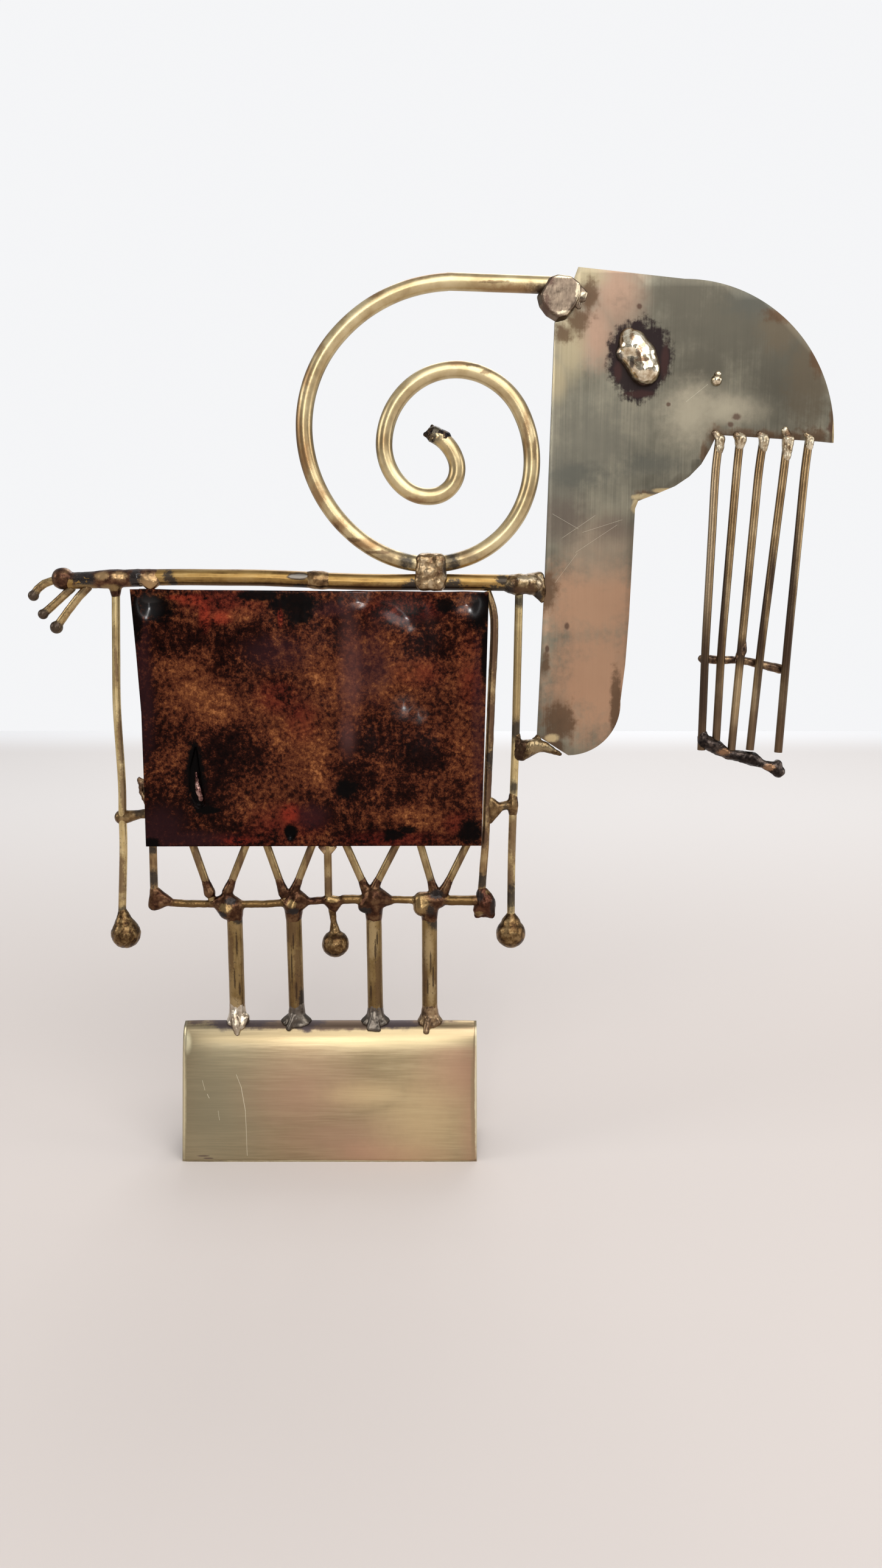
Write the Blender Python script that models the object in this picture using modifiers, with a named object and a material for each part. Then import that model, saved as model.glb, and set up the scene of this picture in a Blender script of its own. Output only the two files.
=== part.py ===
"""Brutalist goat sculpture: a flat goat in profile, brazed up from brass rod and sheet.

Metres, +Z up. The goat faces +X and its front is -Y. The origin is under the middle of
the whole sculpture, on the table. The numbers in the sections below are millimetres, and
places are (x, z) in the plane of the rods, or (x, y, z).
"""

import math

import bmesh
import bpy
from mathutils import Matrix, Vector, noise

MM = 0.001

# Driving dimensions, in millimetres
THIN_ROD = 2.0          # diameter of the frame, zigzag, side and beard rods
THICK_ROD = 4.0         # diameter of the legs, the back beam and the horn
SHEET = 1.0             # thickness of the base and of the body plate
HEAD_SHEET = 0.9
GAP = 0.3               # clearance kept between pieces that touch
BASE_WIDTH = 76.4
BASE_HEIGHT = 34.7
BASE_HALF_DEPTH = 10.35
BASE_CENTRE_X = -25.25
RIDGE_RADIUS = 3.7      # outside radius of the fold along the top of the base
PLATE_BACK = -1.35      # the body plate's back lies just in front of the frame rods
ZIGZAG_TOP = 85.2       # the zigzag ends behind the lower edge of the body plate

THIN = THIN_ROD / 2
THICK = THICK_ROD / 2


# ---------------------------------------------------------------- scene and materials

def clear_scene():
    for obj in list(bpy.data.objects):
        bpy.data.objects.remove(obj, do_unlink=True)


def new_collection(name):
    collection = bpy.data.collections.new(name)
    bpy.context.scene.collection.children.link(collection)
    return collection


def metal(name, colour, roughness, metallic=1.0):
    material = bpy.data.materials.new(name)
    material.use_nodes = True
    shader = material.node_tree.nodes["Principled BSDF"]
    shader.inputs["Base Color"].default_value = (*colour, 1.0)
    shader.inputs["Roughness"].default_value = roughness
    shader.inputs["Metallic"].default_value = metallic
    return material


clear_scene()
PIECES = new_collection("brutalist_goat_sculpture")
CUTTERS = new_collection("cutters")

SHEET_BRASS = metal("sheet_brass", (0.62, 0.47, 0.24), 0.30)
ROD_BRASS = metal("rod_brass", (0.42, 0.31, 0.13), 0.36)
DARK_ROD = metal("dark_rod", (0.16, 0.11, 0.06), 0.42)
FILLER = metal("filler", (0.36, 0.23, 0.12), 0.34)
COPPER_PLATE = metal("copper_plate", (0.16, 0.05, 0.03), 0.30, 0.8)


# ---------------------------------------------------------------- modelling helpers

CREASE = math.radians(40)
WELD_DISTANCE = 0.01


def place(name, bm, material):
    """Makes an object from a bmesh and shades it smooth, but for its sharp edges."""
    mesh = bpy.data.meshes.new(name)
    bmesh.ops.recalc_face_normals(bm, faces=bm.faces)
    bm.to_mesh(mesh)
    bm.free()
    mesh.materials.append(material)
    mesh.shade_smooth()
    mesh.set_sharp_from_angle(angle=CREASE)
    obj = bpy.data.objects.new(name, mesh)
    PIECES.objects.link(obj)
    return obj


def combine(obj, operation, helpers):
    """Joins or cuts an object with helpers, which leave the sculpture's collection."""
    for helper in helpers:
        PIECES.objects.unlink(helper)
        CUTTERS.objects.link(helper)
        helper.hide_render = True
        helper.display_type = "WIRE"
        modifier = obj.modifiers.new(helper.name, "BOOLEAN")
        modifier.operation = operation
        modifier.object = helper
    return obj


def fuse(obj, *helpers):
    return combine(obj, "UNION", helpers)


def keep_clear(obj, *helpers):
    return combine(obj, "DIFFERENCE", helpers)


def point(values):
    """(x, z) or (x, y, z) in millimetres as a point in metres."""
    if len(values) == 2:
        return Vector((values[0], 0.0, values[1])) * MM
    return Vector(values) * MM


def rod(name, route, radius, material=ROD_BRASS, resolution=2):
    """A round rod along a route of places, as a closed mesh."""
    curve = bpy.data.curves.new(name, "CURVE")
    curve.dimensions = "3D"
    curve.bevel_depth = radius * MM
    curve.bevel_resolution = resolution
    curve.use_fill_caps = True
    spline = curve.splines.new("POLY")
    spline.points.add(len(route) - 1)
    for knot, values in zip(spline.points, route):
        knot.co = (*point(values), 1.0)
    guide = bpy.data.objects.new(name + "_guide", curve)
    bpy.context.scene.collection.objects.link(guide)
    graph = bpy.context.evaluated_depsgraph_get()
    solid = bpy.data.meshes.new_from_object(guide.evaluated_get(graph))
    bpy.data.objects.remove(guide)
    bm = bmesh.new()
    bm.from_mesh(solid)
    bmesh.ops.remove_doubles(bm, verts=bm.verts, dist=WELD_DISTANCE * MM)
    return place(name, bm, material)


FINE_BEAD = 1.8         # beads larger than this have 80 faces instead of 20
BEAD_AXIS = Vector((1, 2, 3))


def lump(name, beads, grow=0.0, material=FILLER, first=1):
    """A blob of filler: the skin drawn round a few round beads of (x, y, z, radius).

    Each bead is turned by its own number, counted from the first, so that no two beads have
    faces in one plane, and a bead that two lumps share is the same in both.

    The hull is found in millimetres, where Blender's tolerance is small beside the beads.
    """
    balls = bmesh.new()
    for number, (x, y, z, radius) in enumerate(beads, first):
        turn = Matrix.Rotation(number, 4, BEAD_AXIS)
        bmesh.ops.create_icosphere(balls, subdivisions=2 if radius > FINE_BEAD else 1,
                                   radius=radius + grow,
                                   matrix=Matrix.Translation((x, y, z)) @ turn)
    bm = bmesh.new()
    for vert in balls.verts:
        bm.verts.new(vert.co)
    balls.free()
    bmesh.ops.convex_hull(bm, input=bm.verts)
    bmesh.ops.delete(bm, geom=[v for v in bm.verts if not v.link_faces], context="VERTS")
    bmesh.ops.scale(bm, vec=(MM, MM, MM), verts=bm.verts)
    return place(name, bm, material)


def chain(name, beads, material=FILLER):
    """A bar that swells and narrows: each bead is joined to the next."""
    links = [lump(f"{name}_{i}", pair, material=material, first=i)
             for i, pair in enumerate(zip(beads, beads[1:]))]
    bar = links[0]
    bar.name = name
    return fuse(bar, *links[1:])


UNEVENNESS = 1.7        # how many swellings a drop's skin has across its radius


def drop(name, centre, radii, tilt=0.0, roughness=0.0, sides=12):
    """A drop of melted metal with a slightly uneven skin. tilt turns it about Y."""
    bm = bmesh.new()
    bmesh.ops.create_uvsphere(bm, u_segments=sides, v_segments=2 * sides // 3, radius=1.0)
    turn = Matrix.Rotation(tilt, 3, "Y")
    for vert in bm.verts:
        swell = 1 + roughness * noise.noise(vert.co * UNEVENNESS + Vector(centre))
        vert.co = turn @ (Vector(radii) * swell * vert.co) * MM + point(centre)
    return place(name, bm, FILLER)


def ball(name, centre, radius, grow=0.0, roughness=0.0, sides=12):
    return drop(name, centre, [radius + grow] * 3, roughness=roughness, sides=sides)


def arc(centre, radius, start, end, steps):
    """Places (x, z) along an arc, with its angles in degrees."""
    angles = [math.radians(start + (end - start) * i / steps) for i in range(steps + 1)]
    return [(centre[0] + radius * math.cos(a), centre[1] + radius * math.sin(a))
            for a in angles]


def drawn_out(name, outline, along, material):
    """A solid made by drawing a closed outline of 3D places out along one direction."""
    bm = bmesh.new()
    face = bm.faces.new([bm.verts.new(point(place_at)) for place_at in outline])
    pushed = bmesh.ops.extrude_face_region(bm, geom=[face])["geom"]
    far = [v for v in pushed if isinstance(v, bmesh.types.BMVert)]
    bmesh.ops.translate(bm, verts=far, vec=point(along))
    return place(name, bm, material)


# ---------------------------------------------------------------- base sheet

WALL_BOW = 0.45         # how far the side walls bulge between ridge and foot
SIDE_STEPS = 6


def base_side(inset):
    """(y, z) down one side of the folded sheet, from the crest to the foot."""
    radius = RIDGE_RADIUS - inset
    middle = BASE_HEIGHT - RIDGE_RADIUS
    # the wall leaves the fold where its line also passes through the foot
    reach = math.hypot(BASE_HALF_DEPTH, middle)
    lean = math.acos(RIDGE_RADIUS / reach) - math.atan2(middle, BASE_HALF_DEPTH)
    fold = []
    for step in range(SIDE_STEPS + 1):
        turned = (math.pi / 2 - lean) * step / SIDE_STEPS
        fold.append((radius * math.sin(turned), middle + radius * math.cos(turned)))
    top_y, top_z = fold[-1]
    foot_y = BASE_HALF_DEPTH - inset / math.cos(lean)
    wall = []
    for step in range(1, SIDE_STEPS + 1):
        down = step / SIDE_STEPS
        bow = WALL_BOW * math.sin(math.pi * down)
        wall.append((top_y + (foot_y - top_y) * down + bow, top_z * (1 - down)))
    return fold + wall


def base_section(inset):
    side = base_side(inset)
    return [(-y, z) for y, z in reversed(side)] + side[1:]


def along_base(name, section, overhang=0.0):
    """A closed (y, z) section drawn out along the base, and past its ends by the overhang."""
    start = BASE_CENTRE_X - BASE_WIDTH / 2 - overhang
    outline = [(start, y, z) for y, z in section]
    return drawn_out(name, outline, (BASE_WIDTH + 2 * overhang, 0, 0), SHEET_BRASS)


along_base("base_sheet", base_section(0.0) + base_section(SHEET)[::-1])


# ---------------------------------------------------------------- lower rail with its knuckles

KNUCKLES = {
    "rear_end": [(-70.1, 0, 70.2, 1.1), (-70.2, 0, 66.1, 1.6), (-66.4, 0, 67.2, 1.1)],
    "knuckle_1": [(-54.0, 0, 66.8, 1.4), (-51.4, -0.2, 68.0, 1.7), (-48.9, 0, 66.6, 1.4),
                  (-51.3, -0.7, 64.7, 2.3)],
    "knuckle_2": [(-36.3, 0, 66.7, 1.3), (-33.4, 0, 68.2, 2.0), (-31.0, 0, 67.1, 1.2),
                  (-34.5, -0.7, 65.4, 2.0)],
    "middle_joint": [(-25.4, 0, 67.5, 1.5), (-22.9, 0, 67.0, 1.3), (-24.0, 0, 65.1, 1.2)],
    "knuckle_3": [(-13.5, 0, 68.4, 2.8), (-9.4, 0, 67.3, 1.2), (-15.8, -0.7, 66.0, 1.9)],
    "knuckle_4": [(-1.4, -0.5, 67.6, 2.1), (-1.2, -0.8, 65.6, 2.3), (3.2, 0, 67.2, 1.9),
                  (4.1, 0, 68.5, 1.0)],
}
RAIL = [(-69.5, 67.0), (-62.0, 66.4), (-42.0, 66.3), (-24.0, 67.5), (-13.5, 67.6),
        (3.0, 67.3), (13.5, 67.3)]
# two lengths of the rail are a little thicker: each is a route and the extra radius
SLEEVE = ([(-21.5, 67.6), (-16.5, 67.6)], 0.15)
THICK_END = ([(3.5, 67.2), (13.5, 67.3)], 0.35)
NUGGET = [(14.4, 0, 69.4, 1.6), (15.2, 0, 66.9, 2.5), (13.2, 0, 64.6, 1.3),
          (13.0, 0.4, 63.3, 0.9), (16.6, -0.4, 63.5, 1.0)]


def off_rail(name):
    return rod(name + "_off_rail", RAIL, THIN + GAP)


def off_knuckle(name, knuckle):
    return lump(f"{name}_off_{knuckle}", KNUCKLES[knuckle], GAP)


def off_nugget(name):
    return lump(name + "_off_nugget", NUGGET, GAP)


lower_rail = rod("lower_rail", RAIL, THIN)
fuse(lower_rail, *[lump(name, beads) for name, beads in KNUCKLES.items()])
for name, (route, extra) in (("rail_sleeve", SLEEVE), ("rail_thick_end", THICK_END)):
    fuse(lower_rail, rod(name, route, THIN + extra))
keep_clear(lower_rail, off_nugget("rail"))
lump("rail_end_nugget", NUGGET)


# ---------------------------------------------------------------- legs

LEGS = [(-49.6, -49.7), (-34.4, -34.1), (-13.7, -13.5), (0.7, 0.7)]     # x at the top and foot
LEG_TOP = 65.0          # inside the knuckle, before it is cut clear
LEG_END = 32.4          # inside the ridge, before it is cut clear
FOOT_START = 38.2       # the braze begins to flare here
FOOT_FLARE = 3.6


def foot(name, x):
    """The flared braze at the foot of a leg, made as a cone over the ridge."""
    bm = bmesh.new()
    height = FOOT_START - LEG_END
    middle = point((x, 0, LEG_END + height / 2))
    bmesh.ops.create_cone(bm, cap_ends=True, segments=12, radius1=FOOT_FLARE * MM,
                          radius2=THICK * MM, depth=height * MM,
                          matrix=Matrix.Translation(middle))
    return place(name, bm, FILLER)


for number, (top_x, foot_x) in enumerate(LEGS, 1):
    name = f"leg_{number}"
    leg = rod(name, [(foot_x, LEG_END), (top_x, LEG_TOP)], THICK, resolution=3)
    fuse(leg, foot(name + "_foot", foot_x))
    keep_clear(leg, along_base(name + "_off_ridge", base_section(-GAP), 1.0),
               off_knuckle(name, f"knuckle_{number}"))


# ---------------------------------------------------------------- zigzag and centre post

PLATE_EDGE = 81.3       # height at which the upper places of the zigzag rods are given
# lower end, a place on the line higher up, and the knuckle that the rod is brazed to
ZIGZAG = [((-54.9, 66.4), -59.5, 1), ((-51.7, 68.4), -46.4, 1),
          ((-36.2, 67.5), -40.6, 2), ((-34.3, 69.3), -29.5, 2),
          ((-15.2, 69.2), -20.3, 3), ((-13.6, 70.4), -8.1, 3),
          ((2.2, 68.6), -1.4, 4), ((4.1, 69.2), 9.9, 4)]

for number, (low, edge_x, knuckle) in enumerate(ZIGZAG, 1):
    name = f"zigzag_rod_{number}"
    slope = (edge_x - low[0]) / (PLATE_EDGE - low[1])
    top = (low[0] + slope * (ZIGZAG_TOP - low[1]), ZIGZAG_TOP)
    keep_clear(rod(name, [low, top], THIN), off_knuckle(name, f"knuckle_{knuckle}"), off_rail(name))

CENTRE_X = -25.3
post = rod("centre_post", [(CENTRE_X, 67.8), (CENTRE_X, ZIGZAG_TOP)], THIN)
keep_clear(post, off_knuckle("post", "middle_joint"), off_rail("post"))

# a drop of filler hangs from the rail's middle joint, on a slim neck
DRIP = [(-24.4, 65.0), (-23.9, 59.0), (-23.7, 56.0)]
DRIP_RADIUS = 0.85
centre_drop = rod("centre_drop", DRIP, DRIP_RADIUS, FILLER)
fuse(centre_drop, ball("centre_ball", (-23.7, 0, 55.7), 3.55, roughness=0.04))
keep_clear(centre_drop, off_knuckle("drop", "middle_joint"))


# ---------------------------------------------------------------- back beam

REAR_BEAM = [(-88.6, 148.2), (-80.0, 148.7), (-73.0, 149.1), (-60.0, 149.3), (-40.0, 149.1),
             (-27.0, 148.6)]
FRONT_BEAM = [(-26.6, 148.5), (-13.0, 148.1), (5.0, 148.1), (27.6, 147.8)]
TAIL_KNOB = ((-88.9, 0, 148.9), 2.8)
KNOB_ROUGHNESS = 0.08
PLATE_CORNER_BRAZE = [(-68.6, -0.6, 148.2, 1.5), (-66.6, -0.6, 148.2, 1.5),
                      (-67.4, -1.2, 147.5, 0.7)]
SWELLING = [(-80.0, 0, 148.7, 1.9), (-76.5, 0, 148.9, 2.25), (-72.0, 0, 149.1, 2.0)]
NECK_BRAZE = [(20.6, 0, 147.9, 2.1), (22.6, -0.3, 147.0, 2.5), (26.6, 0, 147.9, 2.1)]
NECK_FILLET = [(26.6, 0, 147.9, 2.0), (28.7, 0, 148.2, 1.4), (28.6, 0, 144.6, 0.9)]


def off_beam(name, route):
    return rod(name + "_off_beam", route, THICK + GAP, resolution=3)


def off_swelling(name):
    return lump(name + "_off_swelling", SWELLING, GAP)


rear_beam = rod("back_beam_rear", REAR_BEAM, THICK, resolution=3)
fuse(rear_beam, ball("tail_knob", *TAIL_KNOB, roughness=KNOB_ROUGHNESS),
     lump("rear_swelling", SWELLING), lump("plate_corner_braze", PLATE_CORNER_BRAZE))

front_beam = rod("back_beam_front", FRONT_BEAM, THICK, resolution=3)
fuse(front_beam, lump("neck_braze", NECK_BRAZE), lump("neck_fillet", NECK_FILLET))


# ---------------------------------------------------------------- frame uprights

REAR_UPRIGHT = [(-70.1, 69.5), (-69.9, 81.3), (-69.3, 98.0), (-69.1, 118.0), (-69.4, 147.0)]
FRONT_UPRIGHT = [(14.1, 70.0), (14.9, 81.8), (15.8, 107.4), (16.3, 122.4), (16.8, 135.1),
                 (16.5, 141.3), (15.6, 143.4), (15.4, 145.7)]
TORN_FILLER = [(-72.4, 0.3, 98.9, 0.9), (-71.9, 0.3, 95.8, 0.8), (-71.3, 0.2, 92.8, 0.5),
               (-69.6, 0, 96.5, 1.0)]

rear_upright = rod("frame_upright_rear", REAR_UPRIGHT, THIN)
fuse(rear_upright, lump("torn_filler", TORN_FILLER))
keep_clear(rear_upright, off_knuckle("rear_upright", "rear_end"), off_beam("rear_upright", REAR_BEAM),
           lump("rear_upright_off_braze", PLATE_CORNER_BRAZE, GAP))

front_upright = rod("frame_upright_front", FRONT_UPRIGHT, THIN)
fuse(front_upright, drop("upright_bump", (16.9, 0, 118.2), (1.0, 1.1, 1.4), sides=8))
keep_clear(front_upright, off_nugget("front_upright"))


# ---------------------------------------------------------------- tail prongs

TAIL = [([(-90.6, 148.6), (-93.0, 148.0), (-95.2, 146.5), (-96.5, 144.7)], 1.35),
        ([(-87.4, 145.9), (-88.9, 144.9), (-91.3, 142.8), (-94.3, 140.3)], 1.3),
        ([(-83.4, 146.2), (-85.2, 144.6), (-88.2, 141.0), (-91.2, 137.1)], 1.6)]

for number, (route, tip_radius) in enumerate(TAIL, 1):
    name = f"tail_prong_{number}"
    tip_x, tip_z = route[-1]
    prong = rod(name, route, THIN)
    fuse(prong, ball(name + "_tip", (tip_x, 0, tip_z), tip_radius, sides=8))
    keep_clear(prong, off_beam(name, REAR_BEAM),
               ball(name + "_off_knob", *TAIL_KNOB, grow=GAP, roughness=KNOB_ROUGHNESS))


# ---------------------------------------------------------------- side rods and their links

REAR_SIDE = [(-76.1, 146.4), (-76.8, 131.0), (-77.3, 117.0), (-77.0, 99.0), (-77.5, 80.1),
             (-78.6, 64.5), (-78.2, 59.0)]
FRONT_SIDE = [(22.8, 144.4), (22.4, 111.4), (21.9, 90.0), (21.7, 78.0), (21.7, 59.5)]
REAR_BALL = ((-77.9, 0, 58.4), 3.8)
REAR_BALL_NECK = [(-78.5, 0, 63.4, 1.1), (-78.0, 0, 59.6, 3.1)]
FRONT_BALL = ((21.7, 0, 58.5), 3.9)
FRONT_KNOB = [(21.9, 0, 91.4, 1.3), (21.9, 0, 93.8, 1.3)]
REAR_LINK = [(-77.4, 1.1, 89.0, 1.9), (-75.4, 0.4, 89.4, 1.5), (-71.0, 0, 90.1, 1.0)]
FRONT_LINK = [(16.6, 0, 92.9, 1.0), (16.4, 0, 88.6, 0.7), (20.4, 0, 92.4, 0.9)]


def off_rod(name, route):
    return rod(name, route, THIN + GAP)


rear_side = rod("rear_side_rod", REAR_SIDE, THIN)
fuse(rear_side, ball("rear_ball", *REAR_BALL, roughness=0.05),
     lump("rear_ball_neck", REAR_BALL_NECK))
keep_clear(rear_side, off_beam("rear_side", REAR_BEAM), off_swelling("rear_side"))

front_side = rod("front_side_rod", FRONT_SIDE, THIN)
fuse(front_side, ball("front_ball", *FRONT_BALL, roughness=0.03), lump("front_knob", FRONT_KNOB))
keep_clear(front_side, off_beam("front_side", FRONT_BEAM),
           lump("front_side_off_braze", NECK_BRAZE, GAP))

rear_link = lump("rear_rod_link", REAR_LINK)
keep_clear(rear_link, off_rod("rear_link_off_side", REAR_SIDE),
           off_rod("rear_link_off_upright", REAR_UPRIGHT))

front_link = lump("front_rod_link", FRONT_LINK)
keep_clear(front_link, off_rod("front_link_off_side", FRONT_SIDE),
           lump("front_link_off_knob", FRONT_KNOB, GAP),
           off_rod("front_link_off_upright", FRONT_UPRIGHT))


# ---------------------------------------------------------------- body plate

# the plate's left edge is bowed, so it has a place every few centimetres: (z, x)
PLATE_LEFT = [(82.1, -71.1), (95.0, -70.9), (116.0, -70.7), (131.0, -71.3), (146.4, -72.1)]
PLATE_LOW_RIGHT = (13.9, 82.3)
PLATE_TOP_RIGHT = (15.3, 145.7)
COLUMNS, ROWS = 14, 10
CUSHION = 0.35          # the hammered middle stands this far in front of the edges
RIM = 1 / 8             # share of the plate over which it rises
# shallow hammer dents: (x, z) of the middle, radius and depth
DENTS = [(-6.0, 138.0, 9.0, 0.35), (-5.0, 117.0, 11.0, 0.30), (8.5, 143.5, 6.0, 0.25),
         (-67.0, 143.0, 6.0, 0.30), (-33.0, 104.0, 16.0, 0.30), (-48.0, 129.0, 13.0, -0.20),
         (4.0, 98.0, 12.0, -0.20), (-66.0, 89.0, 6.0, 0.20)]
# the slit pressed into the front: (x, z) and radius down its length
SLIT = [(-57.6, 107.6, 0.8), (-57.9, 101.5, 1.15), (-57.5, 95.6, 1.3), (-57.4, 93.4, 0.9)]
PLATE_FRONT = PLATE_BACK - SHEET - CUSHION
SLIT_STANDOFF = 0.7     # how far the slit's beads stand in front of the plate


def plate_left(z):
    for (z0, x0), (z1, x1) in zip(PLATE_LEFT, PLATE_LEFT[1:]):
        if z <= z1:
            break
    return x0 + (x1 - x0) * (z - z0) / (z1 - z0)


def plate_relief(x, z):
    """How far the hammer has pushed the sheet back here."""
    return sum(depth * math.exp(-((x - dx) ** 2 + (z - dz) ** 2) / radius ** 2)
               for dx, dz, radius, depth in DENTS)


def body_plate():
    bm = bmesh.new()
    bmesh.ops.create_grid(bm, x_segments=COLUMNS, y_segments=ROWS, size=0.5)
    low, high = PLATE_LEFT[0][0], PLATE_LEFT[-1][0]
    for vert in bm.verts:
        u, v = vert.co.x + 0.5, vert.co.y + 0.5
        left_z = low + (high - low) * v
        left_x = plate_left(left_z)
        right_x = PLATE_LOW_RIGHT[0] + (PLATE_TOP_RIGHT[0] - PLATE_LOW_RIGHT[0]) * v
        right_z = PLATE_LOW_RIGHT[1] + (PLATE_TOP_RIGHT[1] - PLATE_LOW_RIGHT[1]) * v
        x = left_x + (right_x - left_x) * u
        z = left_z + (right_z - left_z) * u
        raised = min(1.0, min(u, 1 - u, v, 1 - v) / RIM)
        y = PLATE_FRONT + CUSHION * (1 - raised) + raised * plate_relief(x, z)
        vert.co = point((x, y, z))
    plate = place("body_plate", bm, COPPER_PLATE)
    sheet = plate.modifiers.new("sheet", "SOLIDIFY")
    sheet.thickness = SHEET * MM
    sheet.offset = -1.0
    return plate


slit_beads = [(x, PLATE_FRONT - SLIT_STANDOFF, z, radius) for x, z, radius in SLIT]
keep_clear(body_plate(), lump("slit", slit_beads))


# ---------------------------------------------------------------- head and neck

BROW = ((60.7, 181.0), 37.0)        # centre and radius of the forehead's curve
CHEST = ((35.6, 118.0), 12.8)       # centre and radius of the rounded foot of the neck
NECK_BACK = [(27.7, 110.2), (29.0, 148.0), (30.4, 208.4), (35.0, 218.7)]
JAW = [(93.5, 181.4), (71.1, 182.8), (69.4, 182.3), (68.2, 179.6), (66.2, 176.0),
       (63.4, 173.1), (60.1, 170.9), (56.0, 169.2), (51.3, 167.4), (50.6, 165.6)]
THROAT = [(49.9, 139.4), (49.3, 128.0)]
HEAD = [(35.7, 220.6), *arc(*BROW, 90, 0, 12), *JAW, *THROAT, *arc(*CHEST, 4, -90, 7), *NECK_BACK]


def head_sheet(name, grow=0.0, backing=0.0):
    """The sheet that the head is cut from. Grown, and backed, it is what the brazes keep off."""
    outline = []
    for index, (x, z) in enumerate(HEAD):
        before = Vector(HEAD[index - 1])
        after = Vector(HEAD[(index + 1) % len(HEAD)])
        along = (after - before).normalized()
        outline.append((x - along.y * grow, HEAD_SHEET / 2 + grow + backing, z + along.x * grow))
    return drawn_out(name, outline, (0, -HEAD_SHEET - 2 * grow - backing, 0), SHEET_BRASS)


head_sheet("head_plate")
keep_clear(front_beam, head_sheet("beam_off_head", GAP))

BEAD_BACK = -HEAD_SHEET / 2 - GAP
BEAD_DEPTH = 5.0        # more than any bead's radius, so that its back is cut away
eye = drop("eye_bead", (49.9, BEAD_BACK, 200.6), (4.1, 3.4, 6.3), math.radians(-18), 0.16)
fuse(eye, ball("eye_drop", (51.6, BEAD_BACK, 196.8), 2.9, sides=8))
nostril = ball("nostril_bead", (69.0, BEAD_BACK, 195.6), 1.1, sides=8)
for bead in (eye, nostril):
    keep_clear(bead, head_sheet(bead.name + "_off_head", GAP, BEAD_DEPTH))


# ---------------------------------------------------------------- horn

HORN_START = (31.0, 216.6)
HORN_HEADING = 178.0    # degrees from +X: the rod leaves the head straight backwards
HORN_LEAD = 23.0        # length of the straight stretch before its first bend
HORN_TURN = 50.0        # each bend turns this much, round its own radius
HORN_RADII = [37.5, 31.0, 33.0, 27.5, 23.0, 25.5, 17.5, 17.0, 17.5, 13.0, 9.5, 6.5, 6.5, 10.0]
HORN_STEP = 5.0         # longest straight piece of the faceted horn
HORN_STEP_TURN = 18.0   # and its sharpest turn, in degrees
TIP_BRAZE = ((31.4, -1.2, 213.6), (4.6, 2.2, 5.2))
SADDLE = [(x, y, z, 1.7) for x in (-0.9, 3.3) for y in (-1.3, 1.3) for z in (148.5, 152.7)]


def bent_rod(start, heading, lead, radii, turn):
    """Places along a rod that runs straight, then bends round one radius after another."""
    angle = math.radians(heading)
    x = start[0] + lead * math.cos(angle)
    z = start[1] + lead * math.sin(angle)
    route = [start, (x, z)]
    for radius in radii:
        length = radius * math.radians(turn)
        steps = math.ceil(max(length / HORN_STEP, turn / HORN_STEP_TURN))
        for _ in range(steps):
            chord = 2 * radius * math.sin(math.radians(turn) / steps / 2)
            angle += math.radians(turn) / steps / 2
            x += chord * math.cos(angle)
            z += chord * math.sin(angle)
            angle += math.radians(turn) / steps / 2
            route.append((x, z))
    return route


horn = rod("horn", bent_rod(HORN_START, HORN_HEADING, HORN_LEAD, HORN_RADII, HORN_TURN), THICK)
fuse(horn, lump("saddle_braze", SADDLE),
     drop("tip_braze", *TIP_BRAZE, tilt=math.radians(12), roughness=0.06))
keep_clear(horn, off_beam("horn", FRONT_BEAM), head_sheet("horn_off_head", GAP))


# ---------------------------------------------------------------- weld at the foot of the neck

NECK_WELD = [(24.6, 0, 107.6, 1.7), (24.6, 0, 105.6, 1.9), (27.6, 0, 107.5, 1.8)]
NECK_WELD_RUN = [(27.6, 0, 107.5, 1.8), (30.4, 0, 106.7, 1.2), (33.0, 0, 105.7, 0.8)]

neck_weld = lump("neck_foot_weld", NECK_WELD)
fuse(neck_weld, lump("neck_weld_run", NECK_WELD_RUN, first=len(NECK_WELD)))
keep_clear(neck_weld, off_rod("neck_weld_off_side", FRONT_SIDE), head_sheet("neck_weld_off_head", GAP))


# ---------------------------------------------------------------- beard

# each rod leaves the muzzle's lower edge straight, and then leans to its own slope
BEARD = [[(70.4, 181.2), (69.8, 174.2), (69.1, 132.7), (69.1, 109.0)],
         [(75.4, 182.2), (74.9, 174.2), (73.1, 132.7), (72.7, 108.5)],
         [(81.0, 181.8), (80.2, 174.2), (78.0, 132.7), (76.6, 105.6)],
         [(86.7, 181.5), (86.2, 174.2), (82.9, 132.7), (81.2, 105.0)],
         [(91.9, 181.2), (91.3, 174.2), (89.4, 132.7), (88.3, 101.5)]]
BOTTOM_BAR = [(69.9, 0, 108.6, 1.8), (72.4, 0, 107.5, 1.9), (75.6, 0, 105.5, 1.3),
              (79.0, 0, 104.9, 1.5), (82.0, 0, 104.2, 1.8), (84.6, 0, 102.9, 1.0),
              (87.2, 0, 102.1, 1.5), (88.8, 0, 101.0, 1.6)]
BAR_REACH = 2.5         # a rod is cut clear of the bar's beads this near to its end
CROSSBAR = [(68.9, 129.2, 1.1), (72.8, 128.9, 1.1), (80.0, 128.6, 1.0), (84.4, 127.6, 1.1),
            (88.6, 126.6, 1.2)]

chain("beard_bottom_bar", BOTTOM_BAR)
for number, route in enumerate(BEARD, 1):
    name = f"beard_rod_{number}"
    end_x = route[-1][0]
    joints = [lump(f"{name}_off_bar_{i}", pair, GAP, first=i)
              for i, pair in enumerate(zip(BOTTOM_BAR, BOTTOM_BAR[1:]))
              if min(abs(bead[0] - end_x) for bead in pair) < BAR_REACH]
    keep_clear(rod(name, route, THIN), *joints)

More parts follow.
